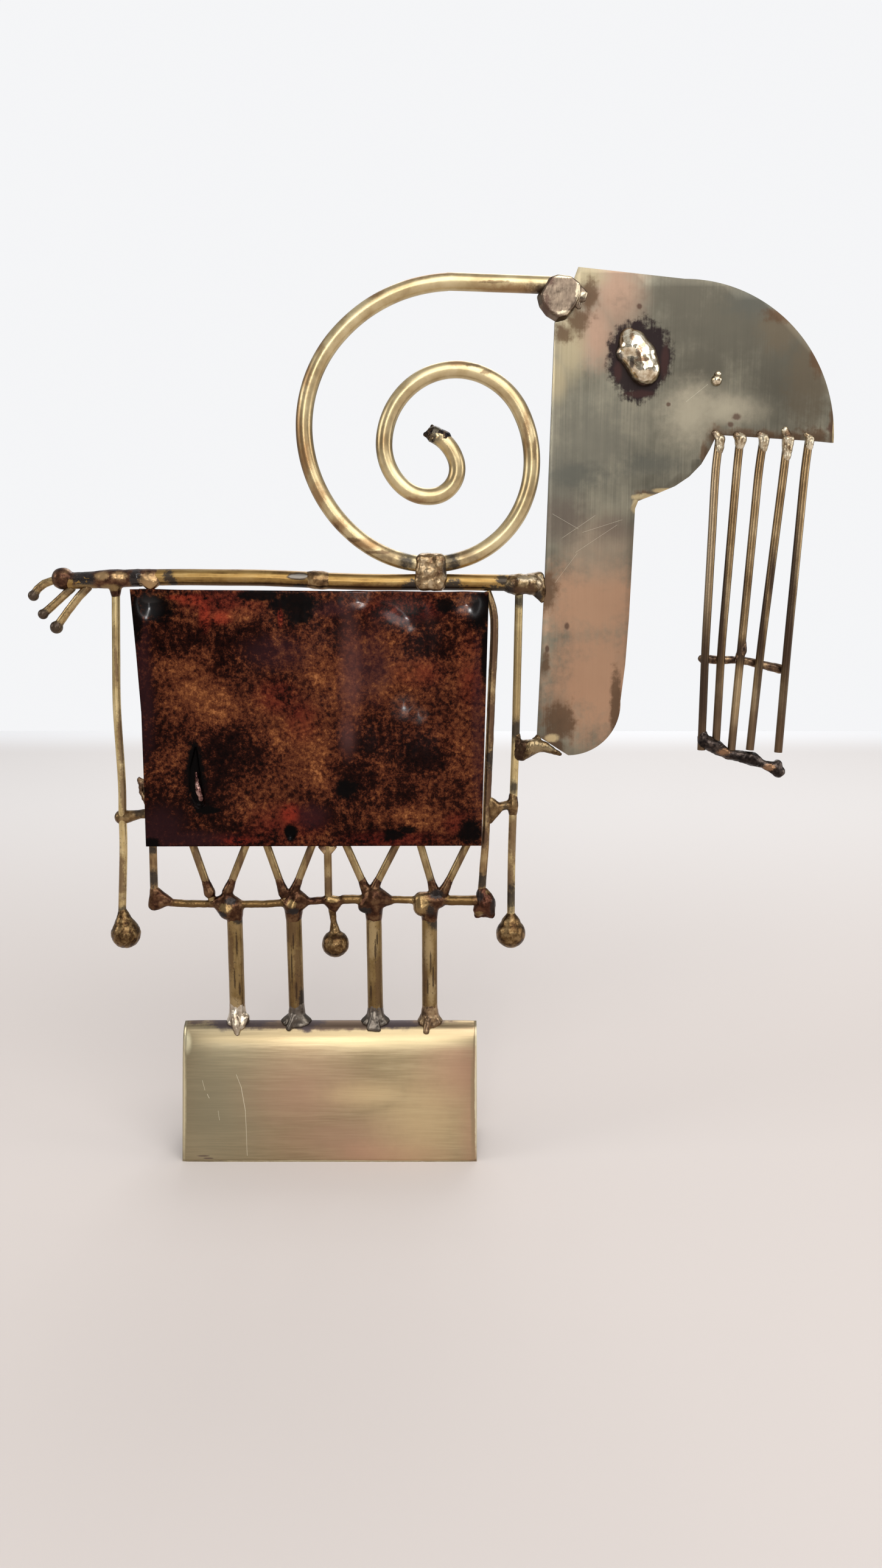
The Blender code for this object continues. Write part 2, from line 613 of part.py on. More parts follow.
# the crossbar lies against the backs of the rods
chain("beard_crossbar", [(x, THIN + radius + GAP, z, radius) for x, z, radius in CROSSBAR], DARK_ROD)
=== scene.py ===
"""The looks of the brutalist goat sculpture: a flat goat in profile, brazed up from brass rod and sheet.

The goat faces +X and its front is -Y. Sizes are millimetres and places are (x, z) or (x, y, z) in
millimetres from the frame's origin, unless a comment says otherwise: each piece is made at that size
and then brought to metres.
"""

import math

import bmesh
import bpy
from mathutils import Matrix, Vector, noise


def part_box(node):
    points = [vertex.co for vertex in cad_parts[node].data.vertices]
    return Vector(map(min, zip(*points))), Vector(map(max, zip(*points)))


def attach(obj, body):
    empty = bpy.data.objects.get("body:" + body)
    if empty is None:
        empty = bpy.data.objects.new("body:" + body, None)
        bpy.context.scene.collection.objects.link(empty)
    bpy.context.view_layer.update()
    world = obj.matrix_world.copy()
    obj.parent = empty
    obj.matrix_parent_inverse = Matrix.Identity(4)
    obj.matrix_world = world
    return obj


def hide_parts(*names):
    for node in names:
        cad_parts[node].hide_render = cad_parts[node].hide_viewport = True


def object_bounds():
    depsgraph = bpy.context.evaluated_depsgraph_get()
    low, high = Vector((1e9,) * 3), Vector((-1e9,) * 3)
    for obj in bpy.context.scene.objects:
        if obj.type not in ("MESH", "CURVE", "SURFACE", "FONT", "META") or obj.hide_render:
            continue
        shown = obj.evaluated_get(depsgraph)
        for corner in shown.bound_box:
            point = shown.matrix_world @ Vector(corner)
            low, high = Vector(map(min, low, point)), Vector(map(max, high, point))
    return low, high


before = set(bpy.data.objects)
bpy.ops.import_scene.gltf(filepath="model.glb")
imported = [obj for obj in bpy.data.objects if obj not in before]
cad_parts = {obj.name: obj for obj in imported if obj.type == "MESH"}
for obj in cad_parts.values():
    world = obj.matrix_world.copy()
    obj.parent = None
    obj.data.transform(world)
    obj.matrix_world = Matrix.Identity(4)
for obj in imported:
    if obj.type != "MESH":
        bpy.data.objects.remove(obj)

CAD_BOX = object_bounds()


# ---------------------------------------------------------------- the folded base
# One strip of brass sheet, folded over a bar into a saddle that stands on its two long edges.
# It is brushed lengthwise by hand, warmed olive to pink by the torch, and browned along the fold,
# where the feet are brazed on. A gold band under the fold is a painted highlight, the left end has
# a painted highlight line and the right end a painted shade line.

MM = 0.001
BASE_LOW, BASE_HIGH = (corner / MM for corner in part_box("base_sheet"))
SHEET = 1.0             # thickness of the brass sheet
RIDGE_RADIUS = 3.7      # outside radius of the fold
WALL_BOW = 0.6          # how far the walls swell out, most of all just under the fold
BOW_REACH = 0.08        # share of the wall over which they do
FOLD_STEPS = 14
WALL_STEPS = 44
BASE_CELL = 1.0         # length of the mesh's faces along the base
EDGE_ROLL = 0.22        # the shears have drawn the cut ends in by this much
EDGE_ROLL_REACH = 2.4
HAND_WAVE = 0.10        # unevenness of the hand-bent sheet
HAND_WAVE_SIZE = 17.0
BURR = 0.22             # height of the nicks along the sawn foot
NICK_OFTEN = 1.3        # nicks in a millimetre, about
OTHER_SIDE = 7.0        # how far apart the nicks' pattern is read for the two long edges
EASING = 22             # passes of smoothing that ease the fold into the walls
CREST_EASE = 3.0        # within this of the crest the unevenness fades from sideways
CREST_SHARE = 0.5       # and this share of it goes down


def put(tree, kind, sockets=(), **settings):
    """Adds a node and sets it up. sockets gives inputs, by name or number, a value or a link."""
    made = tree.nodes.new(kind)
    for setting, value in settings.items():
        setattr(made, setting, value)
    for key, value in dict(sockets).items():
        if isinstance(value, bpy.types.NodeSocket):
            tree.links.new(value, made.inputs[key])
        else:
            made.inputs[key].default_value = value
    return made


def sum_of(tree, operation, *values):
    """The result of a Math node on numbers or sockets."""
    return put(tree, "ShaderNodeMath", enumerate(values), operation=operation).outputs[0]


def vector_of(tree, operation, *values):
    """The result of a Vector Math node: a vector, or the number of a length or a dot product."""
    made = put(tree, "ShaderNodeVectorMath", enumerate(values), operation=operation)
    return made.outputs["Value" if operation in ("LENGTH", "DOT_PRODUCT") else "Vector"]


def start_group(name, kind, inputs, outputs):
    """An empty node group with its named sockets: (tree, what comes in, what goes out)."""
    tree = bpy.data.node_groups.new(name, kind)
    for socket, (socket_kind, value) in inputs.items():
        made = tree.interface.new_socket(socket, in_out="INPUT", socket_type="NodeSocket" + socket_kind)
        if value is not None:
            made.default_value = value
    for socket, socket_kind in outputs.items():
        tree.interface.new_socket(socket, in_out="OUTPUT", socket_type="NodeSocket" + socket_kind)
    return tree, tree.nodes.new("NodeGroupInput").outputs, tree.nodes.new("NodeGroupOutput").inputs


def noise_of(tree, place, scale, detail=3.0, roughness=0.55):
    """A noise between 0 and 1. scale is how many swellings there are in a metre."""
    sockets = {"Vector": place, "Scale": scale, "Detail": detail, "Roughness": roughness}
    return put(tree, "ShaderNodeTexNoise", sockets).outputs[0]


def blend_of(tree, factor, first, second, of_colours=False):
    """first where the factor is 0 and second where it is 1."""
    start, kind, end = (6, "RGBA", 2) if of_colours else (2, "FLOAT", 0)
    return put(tree, "ShaderNodeMix", {0: factor, start: first, start + 1: second},
               data_type=kind).outputs[end]


def between(tree, value, low, high, step="SMOOTHSTEP"):
    """0 below low and 1 above high, or the other way about, with a soft or a straight step."""
    sockets = {"Value": value, "From Min": low, "From Max": high}
    return put(tree, "ShaderNodeMapRange", sockets, interpolation_type=step).outputs["Result"]


def tarnish_group():
    """Clouds, specks and a ragged edge for stains, which every metal here shares."""
    tree, given, result = start_group(
        "tarnish", "ShaderNodeTree", {"Place": ("Vector", None), "Size": ("Float", 0.01)},
        {"Cloud": "Float", "Specks": "Float", "Edge": "Float"})
    often = sum_of(tree, "DIVIDE", 1.0, given["Size"])
    cloud = noise_of(tree, given["Place"], often, 5.0, 0.62)
    tree.links.new(between(tree, cloud, 0.30, 0.70), result["Cloud"])
    fine = noise_of(tree, given["Place"], sum_of(tree, "MULTIPLY", often, 11.0), 3.0, 0.6)
    tree.links.new(between(tree, fine, 0.60, 0.68), result["Specks"])
    edge = noise_of(tree, given["Place"], sum_of(tree, "MULTIPLY", often, 4.3), 4.0, 0.65)
    tree.links.new(sum_of(tree, "MULTIPLY_ADD", fine, 0.6, sum_of(tree, "SUBTRACT", edge, 0.8)),
                   result["Edge"])
    return tree


def stain_group():
    """The mask of one ragged patch of stain, painted highlight or painted shade: 1 inside, 0 outside its
    reach.
    """
    tree, given, result = start_group(
        "stain", "ShaderNodeTree",
        {"Place": ("Vector", None), "Centre": ("Vector", None), "Reach": ("Vector", (1.0, 1.0, 1.0)),
         "Edge": ("Float", 0.0), "Ragged": ("Float", 1.0), "Soft": ("Float", 0.3)}, {"Mask": "Float"})
    offset = vector_of(tree, "SUBTRACT", given["Place"], given["Centre"])
    distance = vector_of(tree, "LENGTH", vector_of(tree, "DIVIDE", offset, given["Reach"]))
    uneven = sum_of(tree, "MULTIPLY_ADD", given["Edge"], given["Ragged"], distance)
    outer = sum_of(tree, "ADD", 1.0, given["Soft"])
    inner = sum_of(tree, "SUBTRACT", 1.0, given["Soft"])
    tree.links.new(between(tree, uneven, outer, inner), result["Mask"])
    return tree


def brushing_group():
    """Fine parallel strokes. Strokes is how many swellings a metre holds along each axis."""
    tree, given, result = start_group(
        "brushing", "ShaderNodeTree",
        {"Place": ("Vector", None), "Strokes": ("Vector", (60.0, 2500.0, 2500.0))},
        {"Streak": "Float", "Height": "Float"})
    stretched = vector_of(tree, "MULTIPLY", given["Place"], given["Strokes"])
    broad = noise_of(tree, stretched, 0.35, 2.0, 0.6)
    fine = noise_of(tree, stretched, 1.6, 1.0, 0.6)
    both = sum_of(tree, "MULTIPLY_ADD", fine, 0.5, sum_of(tree, "MULTIPLY", broad, 0.5))
    tree.links.new(between(tree, both, 0.34, 0.66), result["Streak"])
    tree.links.new(fine, result["Height"])
    return tree


def scratch_group():
    """The mask of one straight scratch from Start to End, two places on the plane of X and Z."""
    tree, given, result = start_group(
        "scratch", "ShaderNodeTree",
        {"Place": ("Vector", None), "Start": ("Vector", None), "End": ("Vector", None),
         "Width": ("Float", 0.0001)},
        {"Mask": "Float"})
    flat = vector_of(tree, "MULTIPLY", given["Place"], Vector((1, 0, 1)))
    offset = vector_of(tree, "SUBTRACT", flat, given["Start"])
    run = vector_of(tree, "SUBTRACT", given["End"], given["Start"])
    share = sum_of(tree, "DIVIDE", vector_of(tree, "DOT_PRODUCT", offset, run),
                   vector_of(tree, "DOT_PRODUCT", run, run))
    share = between(tree, share, 0.0, 1.0, "LINEAR")
    nearest = put(tree, "ShaderNodeVectorMath", {0: run, "Scale": share}, operation="SCALE").outputs["Vector"]
    distance = vector_of(tree, "LENGTH", vector_of(tree, "SUBTRACT", offset, nearest))
    tree.links.new(between(tree, distance, given["Width"], 0.0), result["Mask"])
    return tree


TARNISH, STAIN, BRUSHING, SCRATCH = tarnish_group(), stain_group(), brushing_group(), scratch_group()
SCRATCH_TONE, SCRATCH_SHARE = (0.92, 0.85, 0.66), 0.75


def stained(tree, place, edge, ragged, soft, stains):
    """The mask of some patches together, of stain or of painted highlight and shade, each of them a (centre,
    reach) in metres.
    """
    mask = None
    for centre, reach in stains:
        sockets = {"Place": place, "Edge": edge, "Centre": centre, "Reach": reach, "Ragged": ragged,
                   "Soft": soft}
        found = put(tree, "ShaderNodeGroup", sockets, node_tree=STAIN).outputs["Mask"]
        mask = found if mask is None else sum_of(tree, "MAXIMUM", mask, found)
    return mask


def spots(y, depth, *places):
    """Patches of stain, painted highlight or painted shade that share their Y and reach this far along it:
    (x, z, reach along X, reach along Z).
    """
    return [((x, y, z), (reach_x, depth, reach_z)) for x, z, reach_x, reach_z in places]


def toned(tree, value, tones):
    """The colour at a value among tones, each of them a (position, colour)."""
    ramp = put(tree, "ShaderNodeValToRGB", {0: value})
    elements = ramp.color_ramp.elements
    while len(elements) < len(tones):
        elements.new(0.5)
    for element, (position, tone) in zip(elements, tones):
        element.position, element.color = position, (*tone, 1.0)
    return ramp.outputs["Color"]


def plain_material(name):
    """A new material with its node tree, its shader, and the place on the object's surface."""
    material = bpy.data.materials.new(name)
    material.use_nodes = True
    tree = material.node_tree
    place = put(tree, "ShaderNodeTexCoord").outputs["Object"]
    return material, tree, tree.nodes["Principled BSDF"], place


def raise_relief(tree, shader, height, depth):
    """Fine relief, this many millimetres deep, from a height between 0 and 1."""
    bump = put(tree, "ShaderNodeBump", {"Height": height, "Strength": 1.0, "Distance": depth * MM})
    tree.links.new(bump.outputs["Normal"], shader.inputs["Normal"])


def finish(name, tones, roughness, size, layers=(), strokes=None, relief=0.02, streaking=0.35, scratches=()):
    """A metal whose tones drift from the first to the last, with layers over it of stain and of painted
    highlight and shade.

    size is that of the drifting clouds. A layer is (colour, strength, roughness, metallic, ragged,
    soft, stains), where a stain is (centre, reach), or where stains is "specks". strokes is the
    brushing, in strokes a metre along each axis, streaking is its share of the tone and relief its
    depth. A scratch is the (x, z) of its two ends and half its width.
    """
    material, tree, shader, place = plain_material(name)
    worn = put(tree, "ShaderNodeGroup", {"Place": place, "Size": size * MM}, node_tree=TARNISH).outputs
    drift, height, edge = worn["Cloud"], worn["Specks"], worn["Edge"]
    if strokes:
        brushed = put(tree, "ShaderNodeGroup", {"Place": place, "Strokes": strokes},
                      node_tree=BRUSHING).outputs
        drift = blend_of(tree, streaking, drift, brushed["Streak"])
        height = brushed["Height"]
        # the stains' edges follow the strokes a little
        edge = sum_of(tree, "MULTIPLY_ADD", brushed["Streak"], streaking / 4,
                      sum_of(tree, "SUBTRACT", edge, streaking / 8))
    colour = toned(tree, drift, [(index / (len(tones) - 1), tone) for index, tone in enumerate(tones)])
    low, high = roughness
    dull = sum_of(tree, "MULTIPLY_ADD", worn["Cloud"], high - low, low)
    sooted = any(layer[3] < 1.0 for layer in layers)
    metallic = 1.0
    for tint, strength, rough, shine, ragged, soft, stains in layers:
        if stains == "specks":
            mask = worn["Specks"]
        else:
            stains = [(Vector(centre) * MM, Vector(reach) * MM) for centre, reach in stains]
            mask = stained(tree, place, edge, ragged, soft, stains)
        mask = sum_of(tree, "MULTIPLY", mask, strength)
        colour = blend_of(tree, mask, colour, (*tint, 1.0), of_colours=True)
        dull = blend_of(tree, mask, dull, rough)
        if sooted:
            metallic = blend_of(tree, mask, metallic, shine)
    for (x0, z0), (x1, z1), width in scratches:
        sockets = {"Place": place, "Start": Vector((x0, 0, z0)) * MM, "End": Vector((x1, 0, z1)) * MM,
                   "Width": width * MM}
        scratch = put(tree, "ShaderNodeGroup", sockets, node_tree=SCRATCH).outputs["Mask"]
        mask = sum_of(tree, "MULTIPLY", scratch, SCRATCH_SHARE)
        colour = blend_of(tree, mask, colour, (*SCRATCH_TONE, 1.0), of_colours=True)
    tree.links.new(colour, shader.inputs["Base Color"])
    tree.links.new(dull, shader.inputs["Roughness"])
    if sooted:
        tree.links.new(metallic, shader.inputs["Metallic"])
    else:
        shader.inputs["Metallic"].default_value = metallic
    raise_relief(tree, shader, height, relief)
    return material


def base_side():
    """(y, z) down one wall of the folded sheet, from the crest of the fold to the foot."""
    half_depth = BASE_HIGH.y
    middle = BASE_HIGH.z - RIDGE_RADIUS
    reach = math.hypot(half_depth, middle)
    lean = math.acos(RIDGE_RADIUS / reach) - math.atan2(middle, half_depth)
    side = []
    for step in range(FOLD_STEPS + 1):
        turned = (math.pi / 2 - lean) * step / FOLD_STEPS
        side.append((RIDGE_RADIUS * math.sin(turned), middle + RIDGE_RADIUS * math.cos(turned)))
    top_y, top_z = side[-1]
    for step in range(1, WALL_STEPS + 1):
        down = step / WALL_STEPS
        bow = WALL_BOW * (1 - math.exp(-down / BOW_REACH)) * (1 - down)
        side.append((top_y + (half_depth - top_y) * down + bow, top_z * (1 - down)))
    for _ in range(EASING):
        eased = [((a[0] + 2 * b[0] + c[0]) / 4, (a[1] + 2 * b[1] + c[1]) / 4)
                 for a, b, c in zip(side, side[1:], side[2:])]
        side = [side[0], *eased, side[-1]]
    return side


def folded_sheet():
    """The sheet's outside as a grid of faces, which Solidify gives its thickness."""
    side = base_side()
    section = [(-y, z) for y, z in reversed(side)] + side[1:]
    columns = round((BASE_HIGH.x - BASE_LOW.x) / BASE_CELL)
    bm = bmesh.new()
    rows = []
    for column in range(columns + 1):
        x = BASE_LOW.x + (BASE_HIGH.x - BASE_LOW.x) * column / columns
        from_end = min(x - BASE_LOW.x, BASE_HIGH.x - x)
        roll = EDGE_ROLL * math.exp(-from_end / EDGE_ROLL_REACH)
        row = []
        for y, z in section:
            wave = HAND_WAVE * noise.noise(Vector((x, y, z)) / HAND_WAVE_SIZE)
            inward = roll + HAND_WAVE + wave
            nick = noise.noise(Vector((x * NICK_OFTEN, math.copysign(OTHER_SIDE, y), 0.0)))
            z += max(0.0, nick) * BURR * (z < BURR)
            sideways = math.copysign(min(inward, abs(y)), y) * min(1, abs(y) / CREST_EASE)
            downward = inward * (abs(y) < RIDGE_RADIUS / 2) * CREST_SHARE
            row.append(bm.verts.new((x, y - sideways, z - downward)))
        rows.append(row)
    for here, there in zip(rows, rows[1:]):
        for low, high in zip(range(len(section)), range(1, len(section))):
            bm.faces.new((here[low], there[low], there[high], here[high]))
    return bm


def object_of(name, bm, material):
    """An object, still in millimetres, from a bmesh."""
    mesh = bpy.data.meshes.new(name)
    bm.to_mesh(mesh)
    bm.free()
    mesh.materials.append(material)
    mesh.shade_smooth()
    made = bpy.data.objects.new(name, mesh)
    bpy.context.scene.collection.objects.link(made)
    return made


def thicken(piece, thickness):
    """Gives a sheet its thickness, behind or inside the surface that is drawn."""
    wall = piece.modifiers.new("thickness", "SOLIDIFY")
    wall.thickness = thickness
    wall.offset = -1.0


def finished(rough, slot, *nodes):
    """Applies a piece's modifiers, brings it to metres, and fixes it to the frame."""
    graph = bpy.context.evaluated_depsgraph_get()
    mesh = bpy.data.meshes.new_from_object(rough.evaluated_get(graph))
    name, material = rough.name, rough.data.materials[0]
    bpy.data.objects.remove(rough)
    mesh.transform(Matrix.Scale(MM, 4))
    mesh.name = name
    if not mesh.materials:
        mesh.materials.append(material)
    piece = bpy.data.objects.new(name, mesh)
    bpy.context.scene.collection.objects.link(piece)
    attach(piece, "root")
    if nodes:
        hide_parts(*nodes)
    return piece


BASE_MIDDLE = (BASE_LOW + BASE_HIGH) / 2
BASE_RIGHT, BASE_LEFT = BASE_HIGH.x, BASE_LOW.x
base_layers = [
    # colour, strength, roughness, metallic, ragged, soft, stains
    ((0.27, 0.235, 0.152), 0.85, 0.30, 1.0, 0.5, 0.9, spots(0, 30, (BASE_LEFT + 8, 14, 13, 20))),
    ((0.41, 0.255, 0.167), 0.75, 0.29, 1.0, 0.5, 0.95, spots(0, 30, (-32, 17, 12, 9), (-22, 6, 16, 5))),
    ((0.49, 0.285, 0.185), 0.8, 0.29, 1.0, 0.5, 0.9,
     spots(0, 30, (BASE_RIGHT - 2, 22, 10, 8), (BASE_RIGHT, 12, 4, 14), (-10, 2, 12, 3))),
    ((0.64, 0.47, 0.26), 0.65, 0.29, 1.0, 0.5, 0.95, spots(0, 30, (-1, 10, 10, 10), (-14, 17, 10, 3))),
    # painted highlight: a gold band along the wall just under the fold, where it catches the light, with a
    # duller strip laid over its upper part
    ((0.46, 0.37, 0.215), 0.9, 0.285, 1.0, 0.4, 0.7, spots(-5, 4, (-8, 31.0, 27, 2.0))),
    ((0.28, 0.215, 0.118), 0.8, 0.285, 1.0, 0.4, 0.7, spots(-5, 4, (BASE_MIDDLE.x, 31.4, 38, 1.5))),
    ((0.125, 0.082, 0.060), 0.93, 0.42, 0.85, 0.6, 0.12,
     spots(0, 3.7, (BASE_MIDDLE.x - 2.5, BASE_HIGH.z + 0.2, 36, 2.5))),
    ((0.06, 0.045, 0.05), 0.85, 0.45, 0.7, 1.6, 0.3,
     spots(0, 3.2, (-50, 34.2, 9, 1.4), (-33, 34.0, 5, 1.6), (-9, 34.0, 7, 1.4))),
    ((0.10, 0.06, 0.045), 0.85, 0.5, 0.6, 1.2, 0.25,
     spots(-10, 4, (-58.0, 1.5, 2.0, 0.28), (-56.6, 0.9, 1.6, 0.25))),
    # painted highlight: a bright line along the left end's rolled edge
    ((0.86, 0.76, 0.50), 0.8, 0.285, 1.0, 0.6, 0.5,
     spots(0, 30, (BASE_LEFT, 17, 0.8, 18), (BASE_LEFT + 0.8, 30, 1.2, 2.4))),
    # painted shade: a darker line just inside the right end, where the rolled edge turns from the light
    ((0.30, 0.24, 0.14), 0.6, 0.3, 1.0, 0.6, 0.5, spots(0, 30, (BASE_RIGHT - 0.9, 14, 0.7, 14))),
    ((0.88, 0.80, 0.56), 0.8, 0.5, 1.0, 0.6, 0.3,
     [((BASE_MIDDLE.x, -10.4, 0), (40, 1, 0.4)), ((BASE_MIDDLE.x, 10.4, 0), (40, 1, 0.4)),
      ((BASE_RIGHT, 0, 17), (0.55, 30, 18))]),
]
base_scratches = [((-49.5, 22.2), (-48.2, 19.0), 0.07), ((-48.2, 19.0), (-47.1, 13.0), 0.10),
                  ((-47.1, 13.0), (-46.6, 1.6), 0.08), ((-58.3, 20.7), (-57.6, 18.2), 0.07),
                  ((-57.0, 17.2), (-56.5, 16.2), 0.10), ((-54.2, 13.0), (-53.8, 10.6), 0.06)]
base = object_of("folded_base", folded_sheet(), finish(
    "brushed_base_brass", [(0.25, 0.188, 0.104), (0.34, 0.258, 0.147), (0.45, 0.35, 0.207)], (0.29, 0.34),
    26.0, base_layers, strokes=(70.0, 1500.0, 1500.0), relief=0.010, streaking=0.62,
    scratches=base_scratches))
thicken(base, SHEET)
stand = finished(base, "sheet_brass", "base_sheet")
for vert in stand.data.vertices:
    vert.co.z = max(vert.co.z, 0.0)     # the long edges are filed flat to stand on


# ---------------------------------------------------------------- the lower rail and its knuckles
# A 2 mm brass rod, lumpy with filler wherever a leg, a zigzag rod or an upright meets it. The
# filler is melted on with a torch, so each knuckle is a glossy red-brown drop with gold in it.

THIN, THICK = 1.0, 2.0  # radii of the two rods that the goat is made of
KNUCKLES = {
    "rear_end": [(-70.1, 0, 70.2, 1.1), (-70.2, 0, 66.1, 1.6), (-66.4, 0, 67.2, 1.1)],
    "first": [(-54.0, 0, 66.8, 1.4), (-51.4, -0.2, 68.0, 1.7), (-48.9, 0, 66.6, 1.4),
              (-51.3, -0.7, 64.7, 2.3)],
    "second": [(-36.3, 0, 66.7, 1.3), (-33.4, 0, 68.2, 2.0), (-31.0, 0, 67.1, 1.2),
               (-34.5, -0.7, 65.4, 2.0)],
    "middle": [(-25.4, 0, 67.5, 1.5), (-22.9, 0, 67.0, 1.3), (-24.0, 0, 65.1, 1.2)],
    "third": [(-13.5, 0, 68.4, 2.8), (-9.4, 0, 67.3, 1.2), (-15.8, -0.7, 66.0, 1.9)],
    "fourth": [(-1.4, -0.5, 67.6, 2.1), (-1.2, -0.8, 65.6, 2.3), (3.2, 0, 67.2, 1.9),
               (4.1, 0, 68.5, 1.0)],
}
RAIL = [(-69.5, 0, 67.0, THIN), (-62.0, 0, 66.4, THIN), (-42.0, 0, 66.3, THIN), (-24.0, 0, 67.5, THIN),
        (-13.5, 0, 67.6, THIN), (3.5, 0, 67.3, THIN), (4.5, 0, 67.3, 1.3), (13.5, 0, 67.3, 1.35)]
SLEEVE = [(-21.5, 0, 67.6, 1.2), (-16.5, 0, 67.6, 1.2)]
ROOT_RISE, ROOT_REACH = 2.0, 4.4        # a root of filler starts this far up each zigzag rod, and runs so far
ROOT_THICK, ROOT_THIN = 1.5, 0.94
SOCKET_TOP, SOCKET_FOOT = (65.6, 2.5), (61.6, 1.9)      # the filler round each leg's top: z and radius
BEAD_DIVISIONS = 3      # a bead has 20 faces, divided this often less one
VOXEL = 0.24            # size of the faces on melted metal
SMOOTHING = 9           # passes that smooth melted metal


def centre_line(node, *levels, axis=2):
    """Middles of a node's solid where planes across X (0) or Z (2) cut it, in millimetres."""
    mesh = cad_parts[node].data
    middles = []
    for level in levels:
        crossed = []
        for edge in mesh.edges:
            start, end = (mesh.vertices[vert].co / MM for vert in edge.vertices)
            if (start[axis] - level) * (end[axis] - level) < 0:
                share = (level - start[axis]) / (end[axis] - start[axis])
                crossed.append(start.lerp(end, share))
        low = Vector(min(place[i] for place in crossed) for i in range(3))
        high = Vector(max(place[i] for place in crossed) for i in range(3))
        middles.append((low + high) / 2)
    return middles


def longer(line, before, after):
    """A line of places, drawn out at both ends by these lengths."""
    first = line[0] + (line[0] - line[1]).normalized() * before
    last = line[-1] + (line[-1] - line[-2]).normalized() * after
    return [first, *line[1:-1], last]


def bead(place, radius):
    return (*place, radius)


def along(beads):
    """A run of beads as pairs of neighbours, each of which gets a skin of its own."""
    return list(zip(beads, beads[1:]))


def melted(name, groups, material, voxel=VOXEL, smoothing=SMOOTHING, back=math.inf):
    """Melted metal: the skins drawn round each group of beads, run together and smoothed.

    What lies on a sheet is flat behind, at the Y of back.
    """
    total = bmesh.new()
    for group in groups:
        bm = bmesh.new()
        for x, y, z, radius in group:
            bmesh.ops.create_icosphere(bm, subdivisions=BEAD_DIVISIONS, radius=radius,
                                       matrix=Matrix.Translation((x, y, z)))
        bmesh.ops.delete(bm, geom=[*bm.edges, *bm.faces], context="EDGES_FACES")
        bmesh.ops.convex_hull(bm, input=bm.verts)
        bmesh.ops.delete(bm, geom=[v for v in bm.verts if not v.link_faces], context="VERTS")
        for vert in bm.verts:
            vert.co.y = min(vert.co.y, back)
        bmesh.ops.recalc_face_normals(bm, faces=bm.faces)
        mesh = bpy.data.meshes.new(name)
        bm.to_mesh(mesh)
        bm.free()
        total.from_mesh(mesh)
        bpy.data.meshes.remove(mesh)
    made = object_of(name, total, material)
    remesh = made.modifiers.new("run_together", "REMESH")
    remesh.mode = "VOXEL"
    remesh.voxel_size = voxel
    remesh.use_smooth_shade = True
    smooth = made.modifiers.new("smooth", "SMOOTH")
    smooth.factor = 0.5
    smooth.iterations = smoothing
    return made


def uneven_skin_tree():
    """Geometry Nodes that swell and roughen a surface along its normals, by two noises."""
    tree, given, result = start_group(
        "uneven_skin", "GeometryNodeTree",
        {"Geometry": ("Geometry", None), "Swell": ("Float", 0.2), "Swell Size": ("Float", 2.0),
         "Grain": ("Float", 0.03), "Grain Size": ("Float", 0.5), "Material": ("Material", None)},
        {"Geometry": "Geometry"})
    place = put(tree, "GeometryNodeInputPosition").outputs[0]
    heights = []
    for height, size in (("Swell", "Swell Size"), ("Grain", "Grain Size")):
        often = sum_of(tree, "DIVIDE", 1.0, given[size])
        swell = sum_of(tree, "SUBTRACT", noise_of(tree, place, often, 2.0, 0.5), 0.5)
        heights.append(sum_of(tree, "MULTIPLY", swell, sum_of(tree, "MULTIPLY", given[height], 2.0)))
    normal = put(tree, "GeometryNodeInputNormal").outputs[0]
    offset = put(tree, "ShaderNodeVectorMath", {0: normal, "Scale": sum_of(tree, "ADD", *heights)},
                 operation="SCALE").outputs["Vector"]
    moved = put(tree, "GeometryNodeSetPosition", {"Geometry": given["Geometry"], "Offset": offset})
    smooth = put(tree, "GeometryNodeSetShadeSmooth", {0: moved.outputs[0]})
    real = put(tree, "GeometryNodeRealizeInstances", {0: smooth.outputs[0]})
    painted = put(tree, "GeometryNodeSetMaterial", {0: real.outputs[0], "Material": given["Material"]})
    tree.links.new(painted.outputs[0], result["Geometry"])
    return tree


UNEVEN_SKIN = uneven_skin_tree()


def add_nodes(obj, tree, **values):
    """Puts a Geometry Nodes tree on an object; each value is given by its input's name."""
    modifier = obj.modifiers.new(tree.name, "NODES")
    modifier.node_group = tree
    for item in tree.interface.items_tree:
        if item.in_out == "INPUT" and item.name.replace(" ", "_").lower() in values:
            modifier[item.identifier] = values[item.name.replace(" ", "_").lower()]


def braze(name, groups, material, *nodes, slot="filler", swell=0.16, swell_size=2.2, grain=0.035,
          grain_size=0.6, **melting):
    """A piece of melted filler, with its uneven skin."""
    made = melted(name, groups, material, **melting)
    add_nodes(made, UNEVEN_SKIN, swell=swell, swell_size=swell_size, grain=grain,
              grain_size=grain_size, material=material)
    return finished(made, slot, *nodes)


def zigzag_line(number):
    """The axis of a zigzag rod, down into the knuckle that it is brazed to."""
    return longer(centre_line(f"zigzag_rod_{number}", 75.0, 84.0), 8.0, 1.2)


def roots():
    """Filler drawn up the foot of each zigzag rod, and down onto the top of each leg."""
    groups = []
    for number in range(1, 9):
        low, high = zigzag_line(number)
        up = (high - low).normalized()
        groups.append([bead(low + up * ROOT_RISE, ROOT_THICK),
                       bead(low + up * (ROOT_RISE + ROOT_REACH), ROOT_THIN)])
    for number in range(1, 5):
        middle, = centre_line(f"leg_{number}", 60.0)
        groups.append([bead((middle.x, 0, z), radius) for z, radius in (SOCKET_TOP, SOCKET_FOOT)])
    return groups


